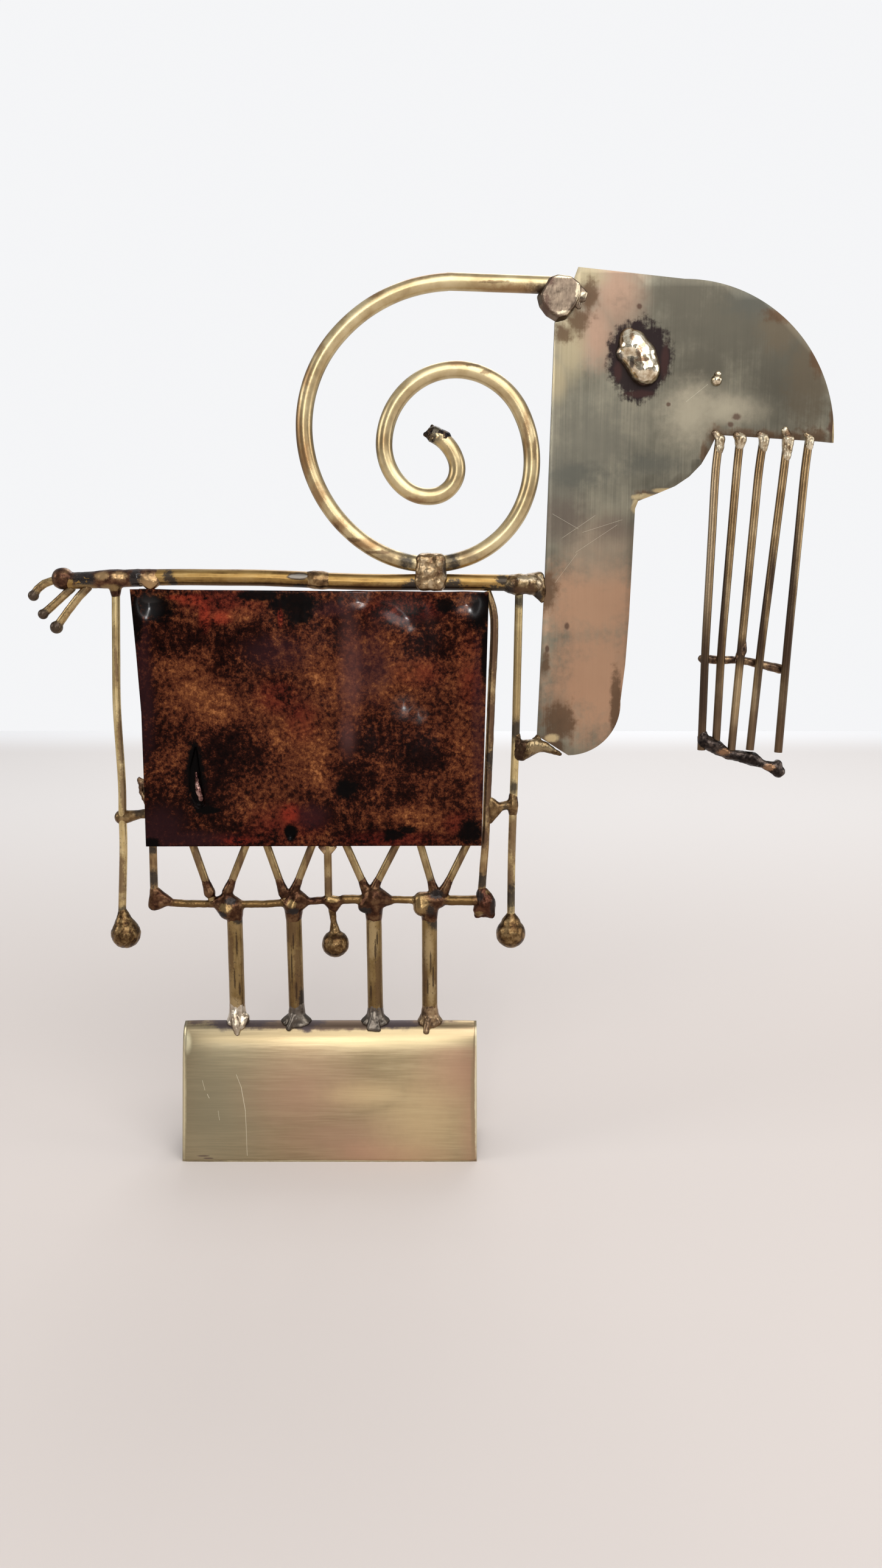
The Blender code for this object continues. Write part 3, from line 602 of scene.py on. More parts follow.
COPPER_BROWN, DEEP_BROWN = (0.080, 0.036, 0.019), (0.027, 0.012, 0.008)
FILLER_GOLD, SOOT = (0.29, 0.19, 0.082), (0.012, 0.009, 0.008)
GLOSSY, SATIN = (0.28, 0.34), (0.28, 0.36)      # least and greatest roughness of melted filler
rail_layers = [
    ((0.165, 0.098, 0.036), 0.85, 0.32, 1.0, 0.8, 0.25,
     spots(0, 2, (-60.5, 66.5, 5.5, 1.6), (-42, 66.4, 6.5, 1.6), (-19, 67.6, 3.0, 2), (-5.8, 67.4, 3.4, 2),
           (8.5, 67.3, 4.5, 2))),
    (FILLER_GOLD, 0.9, 0.285, 1.0, 1.3, 0.3,
     [((-2.2, -2, 66.8), (2.6, 2.6, 2.8)), ((-51.5, -3, 66.0), (1.6, 2, 1.2)),
      ((-34.6, -2, 66.9), (1.1, 2, 1.0)), ((-24.2, -1, 68.0), (1.6, 2, 1.0))]),
    (SOOT, 0.92, 0.3, 0.6, 1.5, 0.25,
     [((0.9, -1, 65.4), (1.3, 2.5, 1.6)), ((-50.2, -2, 67.6), (1.5, 2.5, 0.9)),
      ((-52.6, -3, 64.2), (1.6, 2, 0.8)), ((-34.0, -3, 65.0), (1.7, 2, 0.9)),
      ((2.6, -1, 69.3), (1.9, 2.5, 1.2)), ((-16.0, -2, 65.2), (1.7, 2, 1.0))]),
]
KNUCKLE_METAL = finish("knuckle_filler", [DEEP_BROWN, COPPER_BROWN, (0.17, 0.095, 0.048)], GLOSSY, 2.2,
                       rail_layers, relief=0.05)
braze("rail_and_knuckles", [*KNUCKLES.values(), *along(RAIL), SLEEVE, *roots()], KNUCKLE_METAL, "lower_rail")

# the rail's front end is a copper-brown nugget with a ragged foot
NUGGET = [(14.4, 0, 69.4, 1.6), (15.2, 0, 66.9, 2.5), (13.2, 0, 64.6, 1.3), (16.4, -0.2, 65.0, 1.3)]
NUGGET_FOOT = [(13.0, 0.4, 63.3, 0.9), (14.6, 0.2, 63.5, 0.7), (16.6, -0.4, 63.5, 1.0)]
nugget_layers = [
    (SOOT, 0.85, 0.35, 0.6, 1.6, 0.3, [((13.2, -1, 68.8), (1.3, 3, 1.5)), ((17.0, -1, 66.0), (1.0, 2, 2.2))]),
    (FILLER_GOLD, 0.8, 0.285, 1.0, 1.6, 0.3, spots(-2, 3, (13.4, 64.0, 1.1, 0.8), (16.2, 70.0, 1, 0.6))),
]
NUGGET_METAL = finish("nugget_copper", [(0.035, 0.015, 0.010), (0.085, 0.033, 0.020), (0.15, 0.066, 0.036)],
                      SATIN, 2.0, nugget_layers, relief=0.06)
nugget_post = [bead(place, 1.25) for place in longer(centre_line("frame_upright_front", 74.0, 80.0), 4.5, 0)]
braze("rail_nugget", [NUGGET, *along(NUGGET_FOOT), (NUGGET[1], NUGGET_FOOT[0]), (NUGGET[1], NUGGET_FOOT[2]),
                      (nugget_post[0], (*nugget_post[0][:3], 1.0)), (NUGGET[0], nugget_post[0])],
      NUGGET_METAL, "rail_end_nugget", swell=0.25, swell_size=1.6, grain=0.06)


# ---------------------------------------------------------------- the legs and their feet
# Four lengths of 4 mm brass rod, gone olive with brown runs and pits. Each is brazed onto the fold
# of the base in a flared foot of grey filler, which has dripped down the front of the fold.

ROD_STEP = 0.45         # length of the faces along a rod
THIN_SIDES, THICK_SIDES = 20, 30     # sides of the thin and the thick rods' round section
LEG_LEVELS = 42.0, 60.0
RIDGE_MIDDLE = BASE_HIGH.z - RIDGE_RADIUS
FLARE_BEADS, FLARE_DEPTH, FLARE_BEAD = 10, 2.4, 0.45    # the foot's rim: beads, reach along Y, their radius
CUFF = (39.4, 2.0)      # z and radius of the filler's upper end on the rod
COLLAR_TOP, COLLAR_MIDDLE, COLLAR_FOOT = 36.6, 35.6, 35.4
COLLAR_SWELL = 0.3      # the collar is this much wider at its foot
ROD_RUN = 7.0           # each leg's bar runs on this far into its foot


def drawn_rod_tree():
    """Geometry Nodes that draw a round rod along a curve, with a hand-filed unevenness."""
    tree, given, result = start_group(
        "drawn_rod", "GeometryNodeTree",
        {"Geometry": ("Geometry", None), "Radius": ("Float", 1.0), "Sides": ("Int", 20),
         "Step": ("Float", 0.45), "Swell": ("Float", 0.03), "Swell Size": ("Float", 6.0),
         "Grain": ("Float", 0.004), "Grain Size": ("Float", 0.9), "Material": ("Material", None)},
        {"Geometry": "Geometry"})
    bent = put(tree, "GeometryNodeCurveSplineType", {0: given["Geometry"]}, spline_type="CATMULL_ROM")
    fine = put(tree, "GeometryNodeResampleCurve", {"Curve": bent.outputs[0], "Length": given["Step"]},
               mode="LENGTH")
    ring = put(tree, "GeometryNodeCurvePrimitiveCircle",
               {"Resolution": given["Sides"], "Radius": given["Radius"]})
    tube = put(tree, "GeometryNodeCurveToMesh", {"Curve": fine.outputs[0], "Profile Curve": ring.outputs[0],
                                                 "Fill Caps": True})
    skin = put(tree, "GeometryNodeGroup", node_tree=UNEVEN_SKIN)
    tree.links.new(tube.outputs[0], skin.inputs["Geometry"])
    for socket in ("Swell", "Swell Size", "Grain", "Grain Size", "Material"):
        tree.links.new(given[socket], skin.inputs[socket])
    tree.links.new(skin.outputs[0], result["Geometry"])
    return tree


DRAWN_ROD = drawn_rod_tree()


def drawn_rod(name, line, radius, material, *nodes, slot="rod_brass", **unevenness):
    """A round rod along a line of places."""
    curve = bpy.data.curves.new(name, "CURVE")
    curve.dimensions = "3D"
    spline = curve.splines.new("POLY")
    spline.points.add(len(line) - 1)
    for knot, place in zip(spline.points, line):
        knot.co = (*place, 1.0)
    curve.materials.append(material)
    rod = bpy.data.objects.new(name, curve)
    bpy.context.scene.collection.objects.link(rod)
    add_nodes(rod, DRAWN_ROD, radius=radius, sides=THIN_SIDES if radius < 1.5 else THICK_SIDES,
              step=ROD_STEP, material=material, **unevenness)
    return finished(rod, slot, *nodes)


def on_fold(x, y):
    """The place on the outside of the base's fold, straight above (x, y)."""
    return x, y, RIDGE_MIDDLE + math.sqrt(max(RIDGE_RADIUS ** 2 - y ** 2, 0.0))


def foot_groups(x, left, right, collar, drips):
    """A collar round the rod that flares onto the fold, and the drips in front of it."""
    flare = []
    for step in range(FLARE_BEADS):
        turned = 2 * math.pi * step / FLARE_BEADS
        reach = right if math.cos(turned) > 0 else left
        flare.append(bead(on_fold(x + reach * math.cos(turned), FLARE_DEPTH * math.sin(turned)), FLARE_BEAD))
    neck = (x, 0, COLLAR_TOP, collar)
    return [[(x, 0, *CUFF), neck], [neck, (x, 0, COLLAR_FOOT, collar + COLLAR_SWELL)],
            [(x, 0, COLLAR_MIDDLE, collar), *flare], *drips]


LEG_TOPS = [centre_line(f"leg_{number}", *reversed(LEG_LEVELS))[0].x for number in range(1, 5)]
leg_layers = [
    ((0.13, 0.075, 0.035), 0.75, 0.42, 0.9, 2.6, 0.35,
     [((LEG_TOPS[0] - 0.9, -2, 53.5), (0.8, 2, 6.0)), ((LEG_TOPS[1] + 0.9, -2, 47.0), (0.9, 2, 9.0)),
      ((LEG_TOPS[2] + 1.1, -2, 46.0), (0.8, 2, 7.0)), ((LEG_TOPS[3] - 1.2, -2, 49.0), (0.8, 2, 9.0)),
      ((LEG_TOPS[1] - 0.5, -2, 60.0), (1.4, 3, 4.0)), ((LEG_TOPS[0] + 1.4, 2, 50.0), (1.0, 2, 9.0)),
      ((LEG_TOPS[2] - 1.0, 2, 52.0), (1.0, 2, 7.0))]),
    ((0.46, 0.345, 0.18), 0.7, 0.34, 1.0, 1.2, 0.5,
     spots(-2, 3, (LEG_TOPS[2] - 0.4, 58.0, 1.4, 5.5), (LEG_TOPS[3] - 0.2, 55.0, 1.1, 5.0),
           (LEG_TOPS[3] + 0.4, 44.0, 0.9, 4.0), (LEG_TOPS[0] - 0.4, 40.0, 1.6, 1.6))),
    ((0.045, 0.025, 0.012), 0.85, 0.45, 0.8, 1.8, 0.3,
     [((LEG_TOPS[index] + aside, -2, z), (0.24, 2, reach)) for index, aside, z, reach in
      ((0, 0.6, 56.0, 3.4), (0, -0.2, 47.0, 2.6), (0, 1.0, 44.0, 2.0), (1, -0.6, 50.0, 4.4),
       (1, 0.5, 43.5, 2.4), (1, 0.0, 57.0, 2.0), (2, 0.4, 54.5, 2.8), (2, -0.9, 43.0, 2.6),
       (3, 0.3, 51.0, 2.8), (3, -0.5, 44.5, 2.0), (3, 0.9, 47.5, 3.4), (2, 0.9, 57.5, 1.8))]),
    (SOOT, 0.9, 0.35, 0.6, 1.4, 0.3,
     [((LEG_TOPS[0] + 1.4, -1, 62.8), (1.7, 3, 1.6)), ((LEG_TOPS[2], 0, 63.4), (2.6, 3, 1.2)),
      ((LEG_TOPS[3] + 1.0, 0, 62.0), (1.9, 3, 2.4)), ((LEG_TOPS[1] + 1.6, 0, 41.0), (0.7, 3, 3.0))]),
    ((0.05, 0.03, 0.02), 0.65, 0.5, 0.7, 0.0, 0.0, "specks"),
]
LEG_BRASS = finish("leg_brass", [(0.13, 0.075, 0.030), (0.235, 0.155, 0.062), (0.32, 0.222, 0.10)],
                   (0.285, 0.42), 7.0, leg_layers, strokes=(900.0, 900.0, 90.0), relief=0.02, streaking=0.42)
GREY_BRAZE = finish("grey_foot_filler", [(0.07, 0.06, 0.05), (0.12, 0.10, 0.082), (0.24, 0.205, 0.165)],
                    (0.28, 0.38), 2.4, strokes=(420.0, 900.0, 260.0), relief=0.08, streaking=0.5)
SILVERY_BRAZE = finish("silvery_foot_filler", [(0.22, 0.15, 0.09), (0.48, 0.40, 0.30), (0.78, 0.71, 0.60)],
                       GLOSSY, 2.0, strokes=(500.0, 900.0, 220.0), relief=0.08, streaking=0.5)
BROWN_BRAZE = finish("brown_foot_filler", [(0.07, 0.045, 0.03), (0.22, 0.14, 0.08), (0.36, 0.25, 0.14)],
                     SATIN, 2.2, relief=0.06)
# how far each foot flares to the left and right, its collar, its drips, and its metal
FEET = [(2.6, 2.7, 2.25, [[(-50.2, -1.9, 37.2, 0.8), (-49.7, -2.9, 34.6, 1.15), (-49.3, -3.6, 32.5, 0.7)],
                          [(-47.6, -0.8, 35.7, 1.2), (-48.3, -2.3, 33.8, 0.9)]], SILVERY_BRAZE),
        (3.9, 3.5, 2.2, [[(-34.8, -1.7, 36.4, 0.8), (-36.0, -2.9, 33.7, 0.8)]], GREY_BRAZE),
        (3.5, 3.4, 2.2, [[(-13.9, -1.7, 37.0, 0.8), (-15.0, -2.9, 33.6, 0.8), (-12.6, -3.0, 33.4, 0.7)]],
         GREY_BRAZE),
        (2.9, 3.0, 2.3, [[(0.3, -2.0, 35.8, 0.9), (-0.2, -3.3, 33.0, 0.9)]], BROWN_BRAZE)]

for number, (left, right, collar, drips, metal) in enumerate(FEET, 1):
    line = centre_line(f"leg_{number}", *LEG_LEVELS)
    drawn_rod(f"leg_bar_{number}", longer(line, ROD_RUN, 4.0), THICK, LEG_BRASS, f"leg_{number}",
              swell=0.07, swell_size=9.0, grain=0.012, grain_size=0.6)
    foot_x = longer(line, ROD_RUN, 0.0)[0].x
    braze(f"leg_foot_{number}", foot_groups(foot_x, left, right, collar, drips), metal, f"leg_{number}",
          swell=0.18, swell_size=1.4, grain=0.05, grain_size=0.5, smoothing=7)


# ---------------------------------------------------------------- the zigzag, its post and the drop
# Thin rods carry the body on the knuckles: four pairs lean apart, with a post in the middle. Their
# feet are blackened by the torch. A ball of filler hangs under the middle joint on a slim neck.

ZIGZAG_FEET = [zigzag_line(number)[0] for number in range(1, 9)]
strut_layers = [
    (SOOT, 0.9, 0.36, 0.6, 1.2, 0.4,
     [((ZIGZAG_FEET[index].x, 0, 71.0), (2.0, 3, reach)) for index, reach in
      ((1, 2.6), (3, 2.2), (5, 2.6), (6, 3.6), (7, 3.4))]),
    ((0.13, 0.075, 0.04), 0.8, 0.42, 0.9, 1.6, 0.4,
     spots(-1, 2, (-58.5, 79.0, 1.0, 3.0), (-55.6, 72.5, 0.7, 2.0), (-8.6, 80.0, 1.3, 3.4),
           (-30.0, 79.0, 0.8, 4.0), (-47.3, 78.0, 0.6, 5.0), (-25.3, 71.5, 1.3, 2.2), (8.8, 79.5, 0.8, 3.0))),
    ((0.06, 0.035, 0.02), 0.55, 0.5, 0.7, 0.0, 0.0, "specks"),
]
STRUT_BRASS = finish("strut_brass", [(0.17, 0.102, 0.046), (0.30, 0.208, 0.097), (0.42, 0.31, 0.163)],
                     (0.285, 0.40), 5.0, strut_layers, strokes=(900.0, 900.0, 110.0), relief=0.02,
                     streaking=0.42)
for number in range(1, 9):
    drawn_rod(f"zigzag_bar_{number}", zigzag_line(number), THIN, STRUT_BRASS, f"zigzag_rod_{number}")
post = longer(centre_line("centre_post", 72.0, 84.0), 4.5, 1.0)
drawn_rod("centre_bar", post, THIN, STRUT_BRASS, "centre_post")
post_top = post[-1]
DRIP_METAL = finish("drip_filler", [(0.08, 0.045, 0.03), (0.26, 0.16, 0.09), (0.52, 0.38, 0.2)], SATIN, 2.0)
drip = [bead(post_top + Vector(offset), radius) for offset, radius in (
    ((-2.0, -0.4, -3.4), 0.5), ((2.0, -0.4, -3.4), 0.5), ((0, 0, -5.4), 0.85))]
braze("post_drip", [drip], DRIP_METAL, "centre_post")

BALL_GOLD = finish(
    "ball_gold", [(0.045, 0.022, 0.011), (0.14, 0.080, 0.032), (0.30, 0.195, 0.09)], SATIN, 1.5,
    [((0.035, 0.02, 0.014), 0.9, 0.5, 0.6, 0.0, 0.0, "specks")], relief=0.10)
DROP_BALL, DROP_RADIUS = (-23.7, 0, 55.7), 3.55
DROP_NECK = [(-24.4, 0, 65.0, 1.05), (-24.1, 0, 61.5, 0.82), (-23.8, 0, 58.6, 1.5)]
braze("hanging_drop", [[bead(DROP_BALL, DROP_RADIUS)], *along(DROP_NECK)], BALL_GOLD, "centre_drop",
      swell=0.14, swell_size=1.6, grain=0.07, grain_size=0.5)


# ---------------------------------------------------------------- the back beam
# Two lengths of 4 mm rod, brazed end to end above the body, carry the horn, the tail and the head.
# The brass is clean and golden on top, with brown painted along its underside as shade, and black wherever
# the torch has been.

REAR_BEAM = longer(centre_line("back_beam_rear", -84.0, -76.0, -63.0, -50.0, -40.0, -28.0, axis=0), 3.5, 1.4)
FRONT_BEAM = longer(centre_line("back_beam_front", -25.0, -13.0, 5.0, 18.0, axis=0), 2.0, 9.4)
KNOB = (-88.9, 0, 148.9, 2.75)
TAIL_BAND = [(-86.5, 0, 148.4, 2.06), (-82.0, 0, 148.6, 2.06), (-80.0, 0, 148.7, 2.2),
             (-76.5, 0, 148.9, 2.35), (-73.5, 0, 149.0, 2.12), (-70.5, 0, 149.1, 2.2),
             (-65.5, 0, 149.2, 2.04)]
CORNER_DRIP = [(-68.8, -1.0, 148.6, 1.4), (-66.4, -1.0, 148.2, 1.5), (-67.2, -1.5, 146.7, 0.8)]
BEAM_JOINT = [(-28.6, 0, 148.7, 2.04), (-27.2, 0, 148.6, 2.3), (-25.4, 0, 148.5, 2.3),
              (-24.0, 0, 148.4, 2.04)]
SIDE_ROOT = [(-76.2, 0, 147.0, 1.6), (-76.2, 0, 144.4, 0.96)]
beam_layers = [
    # painted shade: brown along the underside of both bars, front and back
    ((0.085, 0.040, 0.018), 0.85, 0.4, 0.95, 1.2, 0.5,
     [((-45, -1, 146.9), (24, 3, 1.2)), ((-10, -1, 146.6), (18, 3, 1.1)), ((-45, 2, 147.0), (25, 1.4, 1.4)),
      ((-10, 2, 147.0), (16, 1.4, 1.4))]),
    (SOOT, 0.92, 0.285, 0.5, 2.0, 0.3,
     [((-62.6, -1, 149.6), (1.3, 2.4, 1.7)), ((-61.6, -1, 148.0), (0.9, 2.4, 1.4)),
      ((-3.9, -1, 147.0), (2.2, 3, 1.5)), ((6.6, -1, 147.2), (2.6, 3, 1.7)),
      ((18.6, 0, 148.4), (2.0, 3, 1.6)), ((17.4, 0, 146.6), (3.6, 3, 1.1)),
      ((-31.0, -2, 146.9), (2.4, 2, 0.7))]),
    ((0.03, 0.022, 0.018), 0.85, 0.4, 0.7, 0.5, 0.15, spots(-1.5, 1.5, (-31.0, 149.5, 2.9, 0.95))),
    ((0.20, 0.18, 0.155), 0.9, 0.4, 1.0, 0.4, 0.12, spots(-1.5, 1.5, (-31.0, 149.5, 2.4, 0.55))),
]
BEAM_BRASS = finish("beam_brass", [(0.10, 0.052, 0.018), (0.285, 0.172, 0.056), (0.38, 0.252, 0.10)],
                    (0.285, 0.38), 7.0, beam_layers, strokes=(90.0, 1100.0, 1100.0), relief=0.02,
                    streaking=0.45)
for name, line, node in (("rear_beam_bar", REAR_BEAM, "back_beam_rear"),
                         ("front_beam_bar", FRONT_BEAM, "back_beam_front")):
    drawn_rod(name, line, THICK, BEAM_BRASS, node, swell=0.06, swell_size=8.0, grain=0.015)

tail_layers = [
    (SOOT, 0.96, 0.12, 0.35, 0.7, 0.2,
     [((-83.3, 0, 148.9), (3.2, 4, 2.0)), ((-70.6, -1.5, 148.6), (1.6, 2.4, 2.6)),
      ((-64.5, 0, 149.0), (1.0, 3, 3.0))]),
    ((0.27, 0.18, 0.08), 0.85, 0.3, 1.0, 0.8, 0.3,
     spots(0, 4, (-84.0, 146.7, 3.4, 1.0), (-77.0, 146.8, 2.4, 0.9))),
    ((0.42, 0.27, 0.13), 0.85, 0.285, 1.0, 1.2, 0.35,
     [((-67.4, -2, 147.9), (2.2, 2.4, 2.2)), ((-78.8, -2, 149.6), (1.6, 2, 1.0)),
      ((-74.6, -2, 149.6), (1.8, 2, 0.9))]),
]
TAIL_METAL = finish("tail_filler", [(0.032, 0.014, 0.010), (0.105, 0.050, 0.029), (0.20, 0.115, 0.058)],
                    GLOSSY, 2.4, tail_layers, relief=0.05)
braze("tail_braze", [[KNOB], *along(TAIL_BAND), CORNER_DRIP, SIDE_ROOT], TAIL_METAL, "back_beam_rear",
      swell=0.13, swell_size=1.8)
JOINT_METAL = finish("beam_joint_filler", [(0.06, 0.033, 0.018), (0.20, 0.12, 0.055), (0.34, 0.23, 0.11)],
                     SATIN, 2.2, relief=0.05)
braze("beam_joint", along(BEAM_JOINT), JOINT_METAL, "back_beam_front", swell=0.12, swell_size=1.6)

NECK_BRAZE = [(19.8, 0, 147.8, 2.05), (22.4, -0.3, 147.2, 2.45), (25.6, 0, 147.9, 2.25)]
NECK_FILLET = [(25.6, 0, 148.2, 2.1), (27.8, 0, 149.6, 1.1), (28.6, 0, 146.0, 1.0), (28.5, 0, 143.6, 0.6)]
NECK_RIPPLES = [[(21.2 + 1.5 * step, -0.3, 147.6, 2.45 + 0.2 * (step % 2)),
                 (21.9 + 1.5 * step, -0.3, 147.6, 2.2)] for step in range(4)]
neck_layers = [
    ((0.09, 0.05, 0.028), 0.8, 0.285, 0.9, 1.6, 0.3,
     [((23.0, -2, 146.2), (3.0, 2, 0.8)), ((25.6, -2.6, 146.6), (0.8, 2, 1.6))]),
    (SOOT, 0.9, 0.3, 0.5, 1.4, 0.3, [((20.2, 0, 146.6), (1.8, 3, 2.0)), ((27.4, -1, 144.6), (1.0, 3, 1.6))]),
    # painted highlight: pale gold on the upper lumps of the braze
    ((0.50, 0.41, 0.28), 0.75, 0.285, 1.0, 1.6, 0.3,
     [((24.6, -2, 149.0), (2.2, 2, 0.7)), ((27.6, -1, 148.0), (1, 2, 1.6))]),
]
NECK_METAL = finish("neck_filler", [(0.045, 0.025, 0.014), (0.15, 0.095, 0.047), (0.30, 0.22, 0.12)],
                    GLOSSY, 1.8, neck_layers, relief=0.06)
braze("neck_braze", [*along(NECK_BRAZE), NECK_FILLET, *NECK_RIPPLES], NECK_METAL, "back_beam_front",
      swell=0.16, swell_size=1.3, smoothing=7)


# ---------------------------------------------------------------- the frame's uprights
# Thin rods behind the body's two upright edges, brown and black from brazing. At the rear a torn
# scrap of filler stands out past the plate.

REAR_FRAME = longer(centre_line("frame_upright_rear", 73.0, 82.0, 90.0, 103.0, 118.0, 140.0), 4.0, 6.5)
FRONT_LEVELS = 73.0, 81.8, 95.0, 107.4, 114.0, 122.4, 135.1, 141.3, 144.0
FRONT_FRAME = longer(centre_line("frame_upright_front", *FRONT_LEVELS), 4.5, 2.0)
frame_layers = [
    ((0.09, 0.045, 0.028), 0.85, 0.4, 0.85, 1.8, 0.4,
     spots(-1, 2, (16.0, 96, 1.3, 9), (16.4, 114, 1.3, 7), (16.8, 133, 1.3, 10), (14.6, 84, 1.4, 3))),
    (SOOT, 0.9, 0.35, 0.5, 1.4, 0.35, spots(0, 2, (14.2, 72.8, 1.6, 2.2), (-70.0, 73.5, 1.4, 2.6),
                                            (-70.0, 80.8, 1.3, 1.2), (16.2, 104, 1.4, 3))),
]
FRAME_BRASS = finish("frame_brass", [(0.13, 0.075, 0.04), (0.32, 0.21, 0.10), (0.48, 0.35, 0.18)],
                     (0.285, 0.4), 4.0, frame_layers, strokes=(900.0, 900.0, 130.0), relief=0.02,
                     streaking=0.42)
drawn_rod("rear_frame_bar", REAR_FRAME, THIN, FRAME_BRASS, "frame_upright_rear", slot="dark_rod")
drawn_rod("front_frame_bar", FRONT_FRAME, THIN, FRAME_BRASS, "frame_upright_front", slot="dark_rod",
          swell=0.10, swell_size=3.0)
TORN = [(-72.6, 0.2, 99.0, 0.6), (-72.0, 0.2, 97.4, 0.9), (-72.3, 0.3, 95.6, 0.55), (-71.5, 0.2, 94.2, 0.75),
        (-71.3, 0.2, 92.6, 0.4)]
TORN_METAL = finish("torn_filler", [(0.05, 0.03, 0.02), (0.17, 0.10, 0.06), (0.36, 0.25, 0.13)], (0.3, 0.5),
                    1.5, relief=0.08)
braze("torn_scrap", [*along(TORN), [(-71.6, 0.2, 98.4, 0.8), (-69.6, 0, 96.5, 1.1)],
                     [(-71.2, 0.2, 94.0, 0.7), (-69.6, 0, 95.0, 1.0)]], TORN_METAL, "frame_upright_rear",
      voxel=0.2, swell=0.3, swell_size=0.9, grain=0.08, smoothing=4)


# ---------------------------------------------------------------- the tail
# Three bent ends of thin rod that fan out of the knob, each with its end melted into a dark bead.

TAIL = [([(-89.9, 0, 148.8), (-91.6, 0, 148.4), (-93.6, 0, 147.7), (-95.3, 0, 146.4), (-96.4, 0, 144.8)],
         1.35),
        ([(-87.0, 0, 146.6), (-88.9, 0, 144.9), (-91.3, 0, 142.8), (-94.3, 0, 140.3)], 1.3),
        ([(-83.0, 0, 146.8), (-85.2, 0, 144.6), (-88.2, 0, 141.0), (-91.2, 0, 137.1)], 1.6)]
tine_layers = [((0.035, 0.02, 0.014), 0.93, 0.34, 0.6, 0.8, 0.3,
                [((route[-1][0], 0, route[-1][2]), (1.9, 2.5, 1.8)) for route, _ in TAIL]),
               ((0.10, 0.06, 0.035), 0.7, 0.4, 0.9, 1.4, 0.4, spots(0, 3, (-86.5, 146.2, 5.0, 1.3)))]
TINE_BRASS = finish("tine_brass", [(0.19, 0.115, 0.055), (0.40, 0.28, 0.13), (0.50, 0.375, 0.20)], SATIN, 3.0,
                    tine_layers, relief=0.03)
for number, (route, tip) in enumerate(TAIL, 1):
    radii = [1.12] + [THIN] * (len(route) - 2) + [1.05]
    beads = [bead(place, radius) for place, radius in zip(route, radii)]
    braze(f"tail_tine_{number}", [*along(beads), [bead(route[-1], tip)]], TINE_BRASS,
          f"tail_prong_{number}", slot="rod_brass", voxel=0.2, swell=0.06, grain=0.02, smoothing=6)


# ---------------------------------------------------------------- the side rods and their bridges
# A thin rod hangs down each side from the back beam, ending in a ball of melted metal, pitted at
# the rear and golden in front. A bridge of filler ties each one to the frame.

REAR_SIDE = longer(centre_line("rear_side_rod", 66.5, 80.1, 90.0, 99.0, 117.0, 131.0, 144.0), 3.5, 2.0)
FRONT_SIDE = longer(centre_line("front_side_rod", 66.0, 78.0, 87.0, 99.0, 111.4, 140.0), 4.0, 6.0)
side_layers = [
    ((0.36, 0.255, 0.12), 0.8, 0.34, 1.0, 1.0, 0.5, spots(0, 3, (22.4, 126, 1.5, 15))),
    ((0.15, 0.085, 0.045), 0.8, 0.4, 0.9, 1.6, 0.4,
     spots(-1, 2, (-76.7, 128, 0.4, 5), (-76.6, 109, 0.6, 8), (-76.6, 96, 0.7, 8), (-78.2, 74, 1.2, 7),
           (22.2, 84, 1.5, 6), (21.4, 73, 1.2, 4))),
    (SOOT, 0.9, 0.32, 0.5, 1.0, 0.4, spots(0, 2, (22.4, 111.5, 1.6, 3.2), (21.8, 68.5, 1.6, 4.2),
                                           (21.9, 97.0, 1.0, 2.0), (-78.4, 64.6, 1.4, 1.6),
                                           (22.8, 143.5, 1.5, 2.0))),
    ((0.06, 0.035, 0.02), 0.5, 0.5, 0.7, 0.0, 0.0, "specks"),
]
SIDE_BRASS = finish("side_brass", [(0.32, 0.215, 0.10), (0.58, 0.44, 0.21), (0.72, 0.58, 0.32)],
                    (0.285, 0.38), 6.0, side_layers, strokes=(900.0, 900.0, 80.0), relief=0.02,
                    streaking=0.45)
drawn_rod("rear_side_bar", REAR_SIDE, THIN, SIDE_BRASS, "rear_side_rod")
drawn_rod("front_side_bar", FRONT_SIDE, THIN, SIDE_BRASS, "front_side_rod")
ROUGH_BALL = finish("rough_ball", [(0.030, 0.015, 0.008), (0.120, 0.068, 0.028), (0.27, 0.175, 0.078)],
                    SATIN, 1.2, [((0.03, 0.018, 0.012), 0.92, 0.5, 0.5, 0.0, 0.0, "specks")], relief=0.14)
REAR_BALL = [(-78.5, 0, 64.6, 1.05), (-78.2, 0, 61.6, 2.2), (-77.9, 0, 58.4, 3.8)]
FRONT_BALL = [(21.7, 0, 63.6, 1.05), (21.7, 0, 61.0, 2.6), (21.7, 0, 58.5, 3.85)]
braze("rear_ball", along(REAR_BALL), ROUGH_BALL, "rear_side_rod", swell=0.2, swell_size=1.2, grain=0.12,
      grain_size=0.45, smoothing=5)
braze("front_ball", [[FRONT_BALL[2]], FRONT_BALL[:2]], BALL_GOLD, "front_side_rod", swell=0.12,
      swell_size=1.8, grain=0.06, grain_size=0.5)

